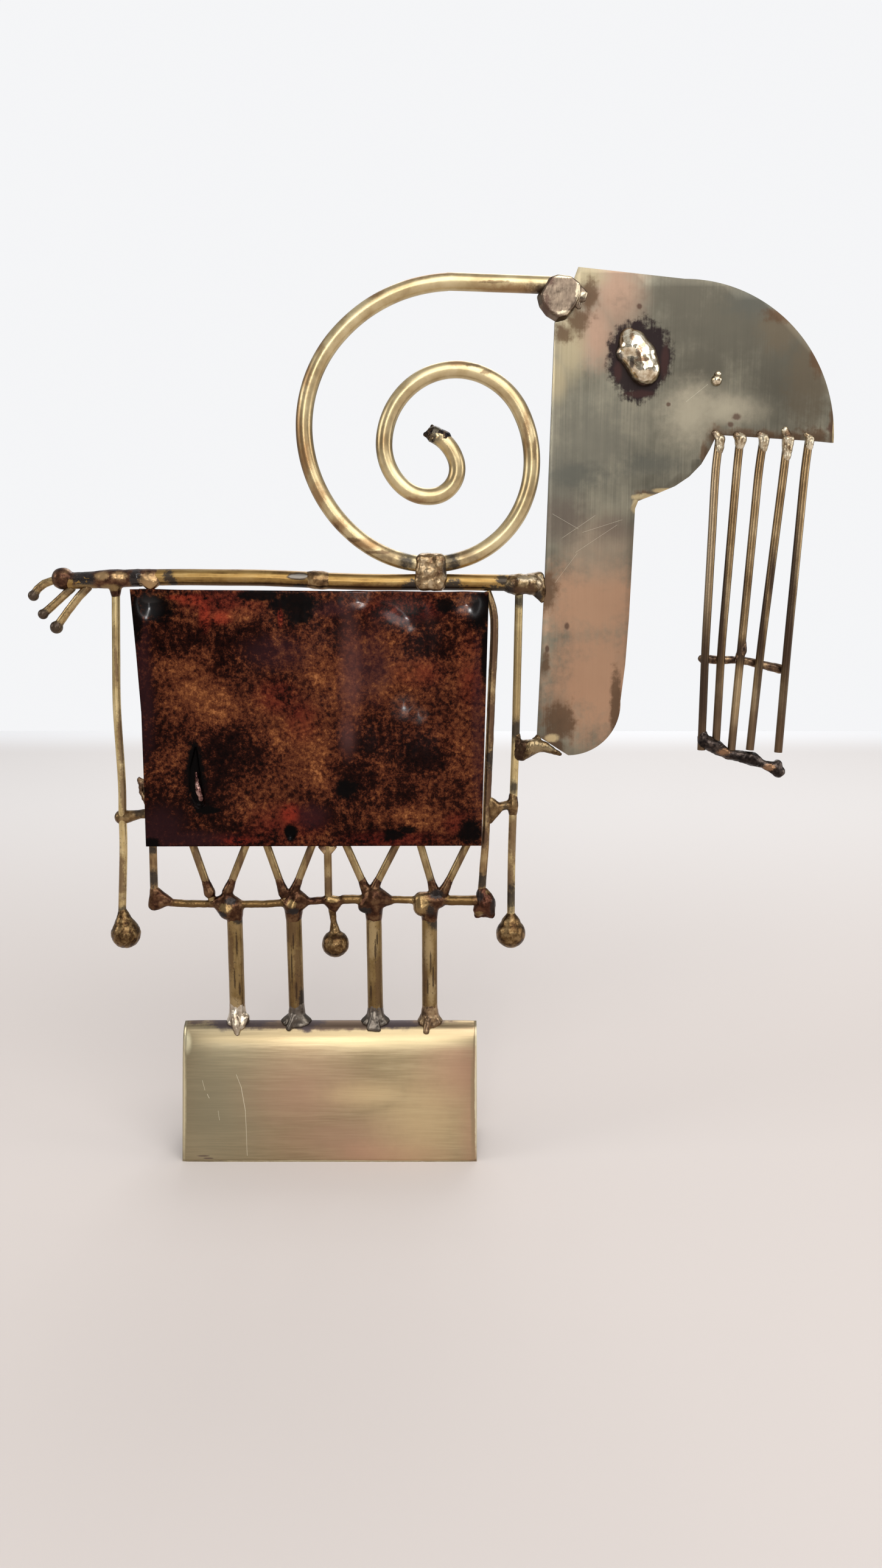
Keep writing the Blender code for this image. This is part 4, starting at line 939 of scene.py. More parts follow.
bridge_layers = [(SOOT, 0.7, 0.35, 0.6, 1.6, 0.35,
                  spots(-1, 2, (-72.6, 90.6, 1.6, 1.2), (20.0, 91.0, 0.8, 2.0)))]
BRIDGE_METAL = finish("bridge_filler", [(0.06, 0.033, 0.018), (0.18, 0.11, 0.05), (0.33, 0.225, 0.11)],
                      SATIN, 2.4, bridge_layers, relief=0.05)
REAR_BRIDGE = [(-77.6, 0.9, 89.0, 1.95), (-75.4, 0.3, 89.4, 1.5), (-73.0, 0, 89.9, 1.15),
               (-70.4, 0, 90.3, 1.3)]
FRONT_BRIDGE = [[(16.2, 0, 93.4, 1.1), (16.0, 0, 88.2, 0.8), (18.6, 0, 91.6, 1.0)],
                [(18.2, 0, 91.9, 1.1), (21.8, 0, 92.6, 1.25)], [(21.9, 0, 90.2, 1.12), (21.9, 0, 92.2, 1.45)],
                [(21.9, 0, 92.2, 1.45), (21.9, 0, 94.9, 1.1)]]
braze("rear_bridge", along(REAR_BRIDGE), BRIDGE_METAL, "rear_rod_link", swell=0.14, swell_size=1.6)
braze("front_bridge", FRONT_BRIDGE, BRIDGE_METAL, "front_rod_link", swell=0.14, swell_size=1.6)


# ---------------------------------------------------------------- the body
# A cushion-shaped sheet of copper with a flame patina, from black and maroon to rust and gold,
# under a gloss lacquer. It is hammered from behind, and pierced near its left end by a pressed slit.

PLATE_LEFT = [(82.1, -71.1), (95.0, -70.9), (116.0, -70.7), (131.0, -71.3), (146.4, -72.1)]  # (z, x)
PLATE_LOW_RIGHT, PLATE_TOP_RIGHT = (13.9, 82.3), (15.3, 145.7)
PLATE_BACK = -1.35      # Y of the plate's flat back
PLATE_CELL = 0.5
CUSHION = 0.35          # the hammered middle stands this far in front of the edges
RIM = 1 / 8             # share of the plate over which it rises
# hammer dents: (x, z) of the middle, radius and depth
DENTS = [(-6.0, 138.0, 9.0, 0.35), (-5.0, 117.0, 11.0, 0.30), (8.5, 143.5, 6.0, 0.25),
         (-67.0, 143.0, 6.0, 0.30), (-33.0, 104.0, 16.0, 0.30), (-48.0, 129.0, 13.0, -0.20),
         (4.0, 98.0, 12.0, -0.20), (-66.0, 89.0, 6.0, 0.20), (-9.4, 143.2, 2.8, 0.42),
         (-6.8, 141.2, 3.0, 0.45), (-4.2, 139.4, 2.6, 0.40), (-5.8, 119.2, 2.4, 0.50),
         (-2.0, 116.6, 1.4, 0.27), (-18.4, 124.0, 7.0, 0.22), (-18.6, 113.0, 4.0, 0.14),
         (-17.0, 144.6, 2.0, 0.36), (9.4, 143.2, 2.4, 0.48), (-66.8, 142.6, 3.0, 0.60)]
SLIT = [(-57.5, 107.4), (-58.0, 102.0), (-57.8, 96.4), (-57.0, 93.6)]
SLIT_HALF_WIDTHS = [0.3, 1.45, 2.0, 1.5]
SLIT_DEPTH = 0.85
HEART = (-34.4, 85.7)   # a small dark hollow near the lower edge
HEART_REACH, HEART_DEPTH = 1.9, 0.35
BLISTER, BLISTER_SIZE = 0.016, 1.6      # height and breadth of the fine blisters
DRAWN, DRAWN_SIZE = 0.12, 9.0           # and of the broad waves that the hammer has drawn
FINE_REGION = 4.5       # the mesh is finer this near the slit and the hollow
THROUGH = 1.0           # the patina's blotches reach right through the sheet, in metres
# how much of the field of heat comes from broad, middle and fine noise, and where its tones start and end
BROAD_SHARE, MIDDLE_SHARE, FINE_SHARE = 0.34, 0.46, 1.10
COLDEST, HOTTEST = 0.71, 1.27
GRAIN_RELIEF = 0.015
HEART_TALL = 1.15       # the hollow is this much taller than wide
FINE_SPOTS = ((HEART, 0.7), (SLIT[0], 0.6), (SLIT[1], 1.0), (SLIT[2], 1.0), (SLIT[3], 0.6))


def plate_left(z):
    for (z0, x0), (z1, x1) in zip(PLATE_LEFT, PLATE_LEFT[1:]):
        if z <= z1:
            break
    return x0 + (x1 - x0) * (z - z0) / (z1 - z0)


def slit_hollow(x, z):
    """How far the slit is pressed in at a place: all the way on its line, and not at its edge."""
    best = 0.0
    for index in range(len(SLIT) - 1):
        start, end = Vector(SLIT[index]), Vector(SLIT[index + 1])
        run = end - start
        share = min(1.0, max(0.0, (Vector((x, z)) - start).dot(run) / run.length_squared))
        half = SLIT_HALF_WIDTHS[index] * (1 - share) + SLIT_HALF_WIDTHS[index + 1] * share
        off = (Vector((x, z)) - start.lerp(end, share)).length / half
        best = max(best, 1.0 - min(1.0, off ** 4))
    return best


def plate_depth(x, z):
    """How far behind the cushion's crown the front of the sheet lies here."""
    hammered = sum(depth * math.exp(-((x - dx) ** 2 + (z - dz) ** 2) / radius ** 2)
                   for dx, dz, radius, depth in DENTS)
    place = Vector((x, 0, z))
    drawn = DRAWN * noise.noise(place / DRAWN_SIZE)
    blister = BLISTER * noise.fractal(place / BLISTER_SIZE, 1.0, 2.0, 3)
    hollow = math.hypot((x - HEART[0]) * HEART_TALL, z - HEART[1]) / HEART_REACH
    heart = HEART_DEPTH * max(0.0, 1 - hollow ** 3) if hollow < 1 else 0.0
    return hammered + drawn + blister + SLIT_DEPTH * slit_hollow(x, z) + heart


def face_forwards(bm):
    """Turns the faces of an open sheet to the front."""
    bmesh.ops.recalc_face_normals(bm, faces=bm.faces)
    if sum(face.normal.y for face in bm.faces) > 0:
        bmesh.ops.reverse_faces(bm, faces=bm.faces)


def hammered_plate():
    low, high = PLATE_LEFT[0][0], PLATE_LEFT[-1][0]
    columns = round((PLATE_TOP_RIGHT[0] - PLATE_LEFT[-1][1]) / PLATE_CELL)
    rows = round((high - low) / PLATE_CELL)
    bm = bmesh.new()
    bmesh.ops.create_grid(bm, x_segments=columns, y_segments=rows, size=0.5)
    shares = {}
    for vert in bm.verts:
        u, v = vert.co.x + 0.5, vert.co.y + 0.5
        left_z = low + (high - low) * v
        left_x = plate_left(left_z)
        right_x = PLATE_LOW_RIGHT[0] + (PLATE_TOP_RIGHT[0] - PLATE_LOW_RIGHT[0]) * v
        right_z = PLATE_LOW_RIGHT[1] + (PLATE_TOP_RIGHT[1] - PLATE_LOW_RIGHT[1]) * v
        x, z = left_x + (right_x - left_x) * u, left_z + (right_z - left_z) * u
        shares[vert] = min(u, 1 - u, v, 1 - v)
        vert.co = (x, min(1.0, shares[vert] / RIM), z)
    close = [edge for edge in bm.edges if any(
        (Vector((end.co.x, end.co.z)) - Vector(spot)).length < FINE_REGION * size
        for end in edge.verts for spot, size in FINE_SPOTS)]
    bmesh.ops.subdivide_edges(bm, edges=close, cuts=1, use_grid_fill=True)
    front = PLATE_BACK - SHEET - CUSHION
    for vert in bm.verts:
        raised = vert.co.y
        vert.co.y = front + CUSHION * (1 - raised) + min(1.0, raised * 3) * plate_depth(vert.co.x, vert.co.z)
    face_forwards(bm)
    return bm


def patina(name):
    """Copper coloured by the flame under lacquer. One field of heat, grainy from fine noise and
    raised or lowered in each blotch's place, runs through black, maroon, rust and gold."""
    material, tree, shader, place = plain_material(name)
    broad = noise_of(tree, place, 62.0, 3.0, 0.6)
    middle = noise_of(tree, place, 230.0, 5.0, 0.74)
    grain = noise_of(tree, place, 900.0, 5.0, 0.80)
    edge = sum_of(tree, "MULTIPLY_ADD", middle, 0.6, sum_of(tree, "MULTIPLY", grain, 0.4))
    edge = sum_of(tree, "SUBTRACT", edge, 0.5)

    def blotch(ragged, soft, stains):
        """The mask of some stains, or of patches of painted reflection, given by the (x, z) of each one and
        how far it reaches along them.
        """
        return stained(tree, place, edge, ragged, soft,
                       [((x * MM, 0.0, z * MM), (reach_x * MM, THROUGH, reach_z * MM))
                        for x, z, reach_x, reach_z in stains])

    gilded = blotch(2.2, 0.8, [(-51.5, 117.5, 5, 5), (-57, 122.5, 5, 3.4), (-63, 127, 6, 2.6),
                               (-46.5, 140, 5, 1.8), (-27.5, 101.5, 6, 4.6), (-3.5, 89.5, 7, 3.4)])
    rusted = blotch(2.0, 0.8, [(8, 116, 8, 14), (-40, 98, 5, 3), (-13, 133, 7, 4), (-4, 124, 8, 5),
                               (-43, 92, 8, 4), (10, 130, 4, 4), (-30, 111, 9, 5), (-62, 119, 6, 4),
                               (-25, 124, 6, 8)])
    cooled = blotch(2.0, 0.7, [(-49, 105, 8, 7), (-54, 97, 7, 9), (-43.5, 134, 8.5, 5.5), (-20, 99.5, 6, 5),
                               (-8.5, 93.6, 5, 2), (-66, 88, 8, 8), (-69.5, 120, 3, 16), (-64, 135, 6, 5),
                               (3, 133, 7, 3), (-27, 90, 5, 3), (-17, 108, 5, 3), (4, 139, 10, 3),
                               (-58, 85, 12, 3.5), (-12, 85, 10, 2.4), (-1, 106, 7, 4)])
    heat = sum_of(tree, "MULTIPLY_ADD", broad, BROAD_SHARE, sum_of(tree, "MULTIPLY", middle, MIDDLE_SHARE))
    heat = sum_of(tree, "MULTIPLY_ADD", grain, FINE_SHARE, heat)
    for share, region in ((0.14, gilded), (0.10, rusted), (-0.12, cooled)):
        heat = sum_of(tree, "MULTIPLY_ADD", region, share, heat)
    tones = [(0.0, (0.003, 0.001, 0.001)), (0.30, (0.012, 0.003, 0.002)), (0.42, (0.034, 0.008, 0.004)),
             (0.52, (0.070, 0.018, 0.008)), (0.66, (0.112, 0.033, 0.013)), (0.82, (0.20, 0.066, 0.022)),
             (1.0, (0.36, 0.138, 0.048))]
    colour = toned(tree, between(tree, heat, COLDEST, HOTTEST, "LINEAR"), tones)
    reddened = blotch(2.4, 0.6, [(-36, 88, 9, 5), (-49, 143, 9, 3), (-5, 142, 9, 3), (-37, 120, 5, 4),
                                 (11, 126, 3, 8), (-47, 84, 7, 1.6), (-8, 84, 12, 2), (-31, 114, 4, 5),
                                 (-2, 126, 6, 3), (8, 88, 4, 3)])
    violet = blotch(1.6, 0.6, [(-70, 122, 2.4, 16), (-67, 86, 6, 6), (-37, 131, 7, 4), (-24, 141.6, 4.5, 1.6),
                               (-29, 90, 4, 3), (-60, 84, 9, 2.4), (-13, 128, 4, 8), (13, 112, 1.6, 20)])
    scarlet = blotch(2.6, 0.5, [(-57, 143.8, 4.0, 1.3), (-54, 140, 1.5, 3.4), (-50, 139.5, 2.4, 1.6),
                                (-35.6, 140.6, 0.7, 3.0), (-34.4, 90.6, 2.2, 2.6), (-48, 83.6, 3.0, 0.9),
                                (-61, 144.4, 3, 0.7)])
    black = blotch(2.2, 0.35, [(-32.0, 143.0, 6.5, 3.2), (-40, 145.0, 5, 1.6), (-31.0, 139.8, 3.4, 2.0),
                               (-66, 142.4, 5.0, 3.6), (-70.8, 140, 1.5, 6), (13.5, 141, 3.4, 5),
                               (4.6, 142.5, 2.6, 2.0), (14.6, 130, 1.2, 8), (-57.6, 100, 2.3, 8.4),
                               (-55.4, 91.6, 3.2, 1.0), (-34.4, 85.8, 1.7, 2.2), (-69.6, 83, 2.4, 1.4),
                               (11, 86, 3.4, 3.6), (-8, 85, 3, 1.4), (-20, 97, 2.6, 2.6),
                               (-4.8, 86.4, 2.4, 1.0)])
    # painted reflection: a soft pale column on the lacquer
    painted_reflection = blotch(0.8, 0.8, [(-18.6, 126, 2.4, 12), (-19.6, 111, 1.8, 5)])
    charred = blotch(0.6, 0.25, [(-57.8, 100.6, 1.8, 8.4), (-55.0, 91.5, 2.8, 0.8), (-34.4, 85.8, 1.6, 2.0)])
    mottle = sum_of(tree, "MULTIPLY_ADD", grain, 0.5, sum_of(tree, "MULTIPLY", middle, 0.5))
    mottle = between(tree, mottle, 0.40, 0.60)
    reddened, scarlet = (sum_of(tree, "MULTIPLY", mottle, red) for red in (reddened, scarlet))
    for tint, strength, mask in (
            ((0.12, 0.014, 0.009), 0.60, reddened), ((0.034, 0.011, 0.013), 0.50, violet),
            ((0.26, 0.026, 0.013), 0.65, scarlet), ((0.125, 0.050, 0.044), 0.40, painted_reflection),
            ((0.002, 0.0015, 0.0015), 0.97, black), ((0.002, 0.0015, 0.0015), 1.0, charred)):
        share = sum_of(tree, "MULTIPLY", mask, strength)
        colour = blend_of(tree, share, colour, (*tint, 1.0), of_colours=True)
    tree.links.new(colour, shader.inputs["Base Color"])
    tree.links.new(sum_of(tree, "MULTIPLY_ADD", middle, 0.30, 0.30), shader.inputs["Roughness"])
    shader.inputs["Metallic"].default_value = 0.55
    shader.inputs["Specular IOR Level"].default_value = 0.01
    lacquered = blotch(0.4, 0.7, [(-6.6, 140.6, 5.0, 3.4), (-5.6, 117.6, 2.6, 2.6), (-2.0, 115.6, 1.8, 1.8),
                                  (-17, 144, 3, 1.8), (10.4, 142.4, 3.0, 2.4), (-67.6, 142.0, 2.4, 2.6)])
    tree.links.new(sum_of(tree, "MULTIPLY_ADD", lacquered, 0.65, 0.045), shader.inputs["Coat Weight"])
    shader.inputs["Coat Roughness"].default_value = 0.15
    shader.inputs["Coat IOR"].default_value = 1.5
    height = sum_of(tree, "MULTIPLY_ADD", grain, 0.3, middle)
    raise_relief(tree, shader, height, GRAIN_RELIEF)
    return material


plate = object_of("patinated_body", hammered_plate(), patina("flame_patina"))
thicken(plate, SHEET)
finished(plate, "copper_plate", "body_plate")

# a glossy bead of melted copper has run down inside the slit
SLIT_Y = PLATE_BACK - SHEET - CUSHION + SLIT_DEPTH
slit_run = [(-57.7, SLIT_Y, 101.0, 0.4), (-57.6, SLIT_Y, 98.5, 0.7), (-57.2, SLIT_Y - 0.1, 96.2, 0.95),
            (-56.7, SLIT_Y, 94.3, 0.8)]
PINK_COPPER = finish("slit_copper", [(0.03, 0.012, 0.012), (0.14, 0.065, 0.055), (0.42, 0.26, 0.22)],
                     (0.10, 0.22), 1.6, relief=0.04)
braze("slit_bead", along(slit_run), PINK_COPPER, voxel=0.16, swell=0.12, swell_size=0.9, grain=0.03)


# ---------------------------------------------------------------- the head
# Head and neck are sawn from one sheet of brass and brushed up and down. Heat has turned it pink
# beside the welds and grey-green between them, and left brown scorch round each one.

HEAD_SHEET = 0.9
BROW = ((60.7, 181.0), 37.0)        # centre and radius of the forehead's curve
CHEST = ((35.6, 118.0), 12.8)       # centre and radius of the rounded foot of the neck
NECK_BACK = [(27.7, 110.2), (29.0, 148.0), (30.4, 208.4), (35.0, 218.7)]
JAW = [(93.5, 181.4), (71.1, 182.8), (69.4, 182.3), (68.2, 179.6), (66.2, 176.0),
       (63.4, 173.1), (60.1, 170.9), (56.0, 169.2), (51.3, 167.4), (50.6, 165.6)]
THROAT = [(49.9, 139.4), (49.3, 128.0)]
HEAD_CELL = 3.0
HEAD_BEND, HEAD_BEND_SIZE = 0.10, 21.0      # how far the sheet waves, and over what length
HEAD_EDGE = 0.12        # the sawn edge is filed round by this much


def arc(centre, radius, start, end, steps):
    """Places (x, z) along an arc from one angle to another, in degrees."""
    angles = [math.radians(start + (end - start) * step / steps) for step in range(steps + 1)]
    return [(centre[0] + radius * math.cos(a), centre[1] + radius * math.sin(a)) for a in angles]


def sawn_sheet(outline, cell):
    """A flat sheet with this outline, cut into cells so that it can be bent."""
    bm = bmesh.new()
    bm.faces.new([bm.verts.new((x, 0, z)) for x, z in outline])
    for axis in (0, 2):
        places = [place[axis // 2] for place in outline]
        for step in range(1, math.ceil((max(places) - min(places)) / cell)):
            middle, normal = Vector((0, 0, 0)), Vector((0, 0, 0))
            middle[axis], normal[axis] = min(places) + step * cell, 1.0
            bmesh.ops.bisect_plane(bm, geom=[*bm.verts, *bm.edges, *bm.faces], dist=1e-5,
                                   plane_co=middle, plane_no=normal)
    for vert in bm.verts:
        vert.co.y = -HEAD_SHEET / 2 + HEAD_BEND * noise.noise(vert.co / HEAD_BEND_SIZE)
    face_forwards(bm)
    return bm


HEAD_BROWN, PLUM = (0.085, 0.048, 0.026), (0.012, 0.006, 0.007)
head_layers = [
    # colour, strength, roughness, metallic, ragged, soft, stains
    ((0.34, 0.215, 0.15), 0.9, 0.32, 1.0, 1.0, 0.7, spots(0, 9, (45.5, 214, 5.6, 7), (40.5, 206, 4, 7))),
    ((0.49, 0.285, 0.175), 0.85, 0.32, 1.0, 1.2, 0.6, spots(0, 9, (41, 143, 13, 9), (43, 124, 12, 14))),
    ((0.36, 0.27, 0.19), 0.6, 0.34, 1.0, 0.5, 0.5, spots(0, 9, (42, 156, 9, 7))),
    ((0.33, 0.27, 0.165), 0.75, 0.32, 1.0, 0.6, 0.7,
     spots(0, 9, (34.0, 203, 3.4, 7), (31.4, 196, 2.2, 5), (37.6, 218.4, 4, 2.4))),
    ((0.083, 0.075, 0.057), 0.9, 0.36, 1.0, 0.8, 0.7,
     spots(0, 9, (72, 208, 23, 13), (61, 214, 9, 9), (86, 198, 12, 12), (66, 199, 9, 7))),
    ((0.115, 0.090, 0.060), 0.7, 0.36, 1.0, 1.4, 0.6, spots(0, 9, (91, 196, 5, 10), (84, 207, 5, 5))),
    ((0.46, 0.40, 0.29), 0.75, 0.30, 1.0, 1.2, 0.9, spots(0, 9, (71.5, 188.4, 7, 3.0), (63.6, 187.4, 6, 6))),
    ((0.125, 0.116, 0.092), 0.75, 0.36, 1.0, 1.2, 0.7, spots(0, 9, (40, 181, 10, 9), (33, 172, 5, 12))),
    ((0.080, 0.080, 0.068), 0.6, 0.38, 1.0, 1.6, 0.7,
     spots(0, 9, (36, 173.5, 7, 2.6), (78, 213, 6, 3), (54, 176, 6, 2.2))),
    ((0.11, 0.082, 0.066), 0.65, 0.38, 1.0, 0.9, 0.9, spots(0, 9, (33, 163, 7, 4.6), (45, 161, 5, 3))),
    (HEAD_BROWN, 0.85, 0.45, 0.9, 2.0, 0.5,
     spots(0, 9, (38.4, 214.0, 2.0, 4.2), (36.2, 208.4, 2.2, 2.8), (32.6, 205.8, 2.4, 1.8),
           (29.8, 146.0, 2.3, 4.4), (70.2, 182.6, 2.6, 2.2), (75.2, 182.8, 3.2, 1.5),
           (81.0, 182.4, 3.4, 1.5), (87.4, 182.2, 3.4, 1.2), (93.0, 182.6, 3.6, 1.8), (97.0, 185, 0.8, 5),
           (47.2, 118, 1.2, 10), (32.0, 107.6, 3.4, 2.0), (33.0, 113.4, 3.6, 5), (52.8, 168.6, 2.6, 1.2),
           (29.4, 128.0, 1.2, 3.0), (66.8, 178.4, 1.0, 2.4), (84.6, 210.0, 5.0, 1.6),
           (92.6, 200.6, 1.4, 4.0))),
    (PLUM, 0.96, 0.42, 0.85, 0.8, 0.12, spots(0, 9, (50.6, 199.8, 7.3, 9.1))),
    ((0.042, 0.018, 0.015), 0.7, 0.38, 0.85, 1.2, 0.5,
     spots(0, 9, (56.6, 199.6, 0.8, 4.0), (50.8, 192.2, 3.4, 0.8), (45.6, 197.4, 0.9, 2.4))),
    ((0.07, 0.035, 0.022), 0.85, 0.5, 0.7, 1.0, 0.4,
     spots(0, 9, (50.2, 211.9, 0.6, 0.6), (74.2, 187.0, 1.1, 0.8), (72.8, 185.2, 0.8, 0.6),
           (57.8, 189.8, 0.5, 0.5), (34.6, 137.4, 0.6, 0.9), (29.9, 131.8, 0.5, 0.8),
           (97.0, 184.2, 1.3, 0.9))),
    # painted highlight: pale gold along the filed edge under the jaw, at the muzzle's front edge and at the
    # neck's foot
    ((0.60, 0.47, 0.26), 0.85, 0.285, 1.0, 1.4, 0.4,
     spots(0, 9, (53.2, 168.4, 3.2, 0.7), (57.6, 169.9, 3.0, 0.5), (50.9, 166.0, 0.9, 1.6),
           (31.6, 109.6, 1.5, 0.9), (97.6, 184.0, 0.35, 4))),
]
HEAD_SCRATCH = 0.028
head_scratches = [((x, z), (x + run, z + rise), HEAD_SCRATCH) for x, z, run, rise in (
    (33.0, 158.6, 8.0, 5.4), (30.6, 164.4, 6.4, -3.6), (38.0, 160.0, 9.6, 3.0), (36.4, 155.2, 10.0, 6.6),
    (62.0, 190.4, 5.0, 4.0), (31.6, 148.0, 5.2, 7.0))]
HEAD_BRASS = finish("brushed_head_brass", [(0.115, 0.106, 0.080), (0.18, 0.164, 0.123), (0.26, 0.232, 0.169)],
                    (0.285, 0.37), 16.0, head_layers, strokes=(1500.0, 1500.0, 36.0), relief=0.012,
                    streaking=0.36, scratches=head_scratches)
head_outline = [(35.7, 220.6), *arc(*BROW, 90, 0, 48), *JAW, *THROAT, *arc(*CHEST, 4, -90, 28), *NECK_BACK]
head = object_of("brushed_head", sawn_sheet(head_outline, HEAD_CELL), HEAD_BRASS)
thicken(head, HEAD_SHEET)
filed = head.modifiers.new("filed_edge", "BEVEL")
filed.width = HEAD_EDGE
filed.segments = 2
filed.limit_method = "ANGLE"
filed.angle_limit = math.radians(50)
finished(head, "sheet_brass", "head_plate")

# a large bright nugget makes the eye, and a small one the nostril
EYE = [[(51.9, -0.7, 197.6, 3.8)], [(51.9, -0.6, 197.8, 3.7), (51.1, -0.7, 200.8, 3.6)],
       [(51.1, -0.7, 200.8, 3.6), (49.0, -0.6, 203.4, 3.4)],
       [(47.9, -0.5, 204.8, 2.4), (48.8, -0.6, 202.8, 3.5)],
       [(47.1, -0.3, 201.4, 2.3), (49.0, -0.5, 201.6, 3.0)],
       [(47.6, -0.4, 201.4, 2.3), (50.7, -0.6, 198.6, 3.4)]]
eye_layers = [
    # painted reflections on the glossy nugget: dark at its left edge and left of its middle, and brown
    # patches across its face
    ((0.05, 0.04, 0.04), 0.85, 0.10, 0.8, 1.2, 0.3,
     [((45.6, -2, 200.0), (0.9, 4, 1.4)), ((48.4, -2.8, 199.0), (0.5, 4, 1.3))]),
    ((0.20, 0.10, 0.05), 0.8, 0.25, 0.9, 1.8, 0.3,
     [((50.0, -3.6, 201.2), (0.7, 3, 1.5)), ((48.2, -3.6, 204.6), (0.5, 3, 0.9)),
      ((50.6, -3.9, 199.4), (1.6, 3, 0.4))]),
]
EYE_METAL = finish("eye_gold", [(0.38, 0.28, 0.17), (0.66, 0.56, 0.40), (0.90, 0.83, 0.66)], (0.06, 0.12),
                   1.8, eye_layers, relief=0.006)
IN_THE_SHEET = 0.1      # the nuggets' flat backs lie in the head's thickness
braze("eye_nugget", EYE, EYE_METAL, "eye_bead", voxel=0.18, swell=0.14, swell_size=3.2, grain=0.0,
      back=IN_THE_SHEET)
NOSTRIL = [[(69.0, -0.5, 195.3, 1.35)], [(69.0, -0.4, 195.4, 1.0), (69.3, -0.3, 196.7, 0.85)]]
braze("nostril_nugget", NOSTRIL, EYE_METAL, "nostril_bead", voxel=0.14, swell=0.1, swell_size=0.8,
      back=IN_THE_SHEET)


# ---------------------------------------------------------------- the horn
# One length of 4 mm rod bent into a spiral, the cleanest and most golden rod of all. Its outer end
# is brazed to the head under a flat disc, it sits on the back beam on a block of filler, and its
# inner end was torn off hot.

# where the rod leaves the head, its heading there in degrees, and how far it runs straight
HORN_START, HORN_HEADING, HORN_LEAD = (31.0, 216.6), 178.0, 23.0
HORN_TURN = 50.0        # each bend turns this much, round its own radius
HORN_RADII = [37.5, 31.0, 33.0, 27.5, 23.0, 25.5, 17.5, 17.0, 17.5, 13.0, 9.5, 6.5, 6.5, 10.0]
HORN_STEP_TURN = 5.0    # degrees between two places along a bend
SADDLE_FOOT, SADDLE_TOP = 147.6, 153.4      # z of the block's foot and top


def bent_line(start, heading, lead, radii, turn):
    """Places along a rod that runs straight, then bends round one radius after another."""
    angle = math.radians(heading)
    x, z = start[0] + lead * math.cos(angle), start[1] + lead * math.sin(angle)
    line = [Vector((start[0], 0, start[1])), Vector((x, 0, z))]
    steps = round(turn / HORN_STEP_TURN)
    for radius in radii:
        for _ in range(steps):
            angle += math.radians(turn) / steps / 2
            chord = 2 * radius * math.sin(math.radians(turn) / steps / 2)
            x, z = x + chord * math.cos(angle), z + chord * math.sin(angle)
            line.append(Vector((x, 0, z)))
            angle += math.radians(turn) / steps / 2
    return line


horn_line = bent_line(HORN_START, HORN_HEADING, HORN_LEAD, HORN_RADII, HORN_TURN)
horn_end = horn_line[-1]
horn_layers = [
    # brown along the horn's outer edges and across its top: partly tarnish, partly painted shade
    ((0.26, 0.135, 0.055), 0.72, 0.38, 1.0, 1.5, 0.5,
     [((-30.6, -1, 186), (1.1, 2.5, 10)), ((-28.4, -1, 197), (1.4, 2.5, 5)),
      ((-25.4, -1, 205), (1.8, 2.5, 3.4)), ((-20.6, -1, 211), (2.6, 2.5, 2.4)),
      ((-14, -1, 215), (4, 2.5, 1.5)), ((-5, -1, 218.4), (5, 2.5, 1.0)), ((-29.0, -1, 176), (1.4, 2.5, 5)),
      ((-26.0, -1, 168.6), (2.0, 2.5, 3)), ((-21.4, -1, 161.4), (2.4, 2.5, 2.0)),
      ((21, -1, 215.2), (7, 2.5, 1.4)), ((2, -1, 219), (6, 2, 0.7)), ((7.6, -1, 199), (2.6, 2, 0.8)),
      ((24.0, -1, 184), (0.9, 2, 6)), ((-3, -1, 167.4), (3.6, 2, 0.8)), ((-9.8, 1, 181), (1.0, 2.5, 7)),
      ((6, 1, 182), (2.5, 2, 3)), ((-15, -1, 157.2), (5, 2.5, 1.3))]),
    (SOOT, 0.93, 0.3, 0.5, 1.1, 0.35, [((-4.6, 0, 153.0), (2.6, 3, 2.4)), ((6.4, 0, 153.0), (2.2, 3, 2.4)),
                                       ((27.4, 0, 215.4), (2.6, 3, 1.7)), (horn_end, (3.2, 3, 2.4))]),
    ((0.12, 0.065, 0.03), 0.7, 0.4, 0.9, 2.2, 0.35,
     spots(-2, 2, (11.6, 198.6, 2.4, 0.5), (14.2, 197.0, 1.2, 0.7), (-1.0, 182.4, 2.4, 0.4),
           (-18, 158.2, 2.2, 0.5), (-21.6, 161.2, 0.8, 1.0), (-12, 155.2, 3.4, 0.4),
           (16.6, 217.0, 3.4, 0.35), (-24.4, 205.8, 0.5, 2.4), (6.0, 214.9, 3.0, 0.3),
           (26.0, 180.0, 0.4, 2.6))),
    ((0.10, 0.06, 0.035), 0.55, 0.42, 0.9, 1.6, 0.4,
     spots(0, 3, (25.6, 215.8, 3.4, 1.5), (10.5, 154.6, 3.0, 1.6), (-9, 154.6, 3.4, 1.4))),
]
HORN_BRASS = finish("horn_brass", [(0.36, 0.255, 0.128), (0.53, 0.415, 0.228), (0.67, 0.555, 0.33)],
                    (0.285, 0.37), 11.0, horn_layers, relief=0.0)
drawn_rod("horn_bar", horn_line, THICK, HORN_BRASS, "horn", swell=0.05, swell_size=9.0, grain=0.0)
horn_heading = (horn_end - horn_line[-2]).normalized()
across = Vector((-horn_heading.z, 0, horn_heading.x))
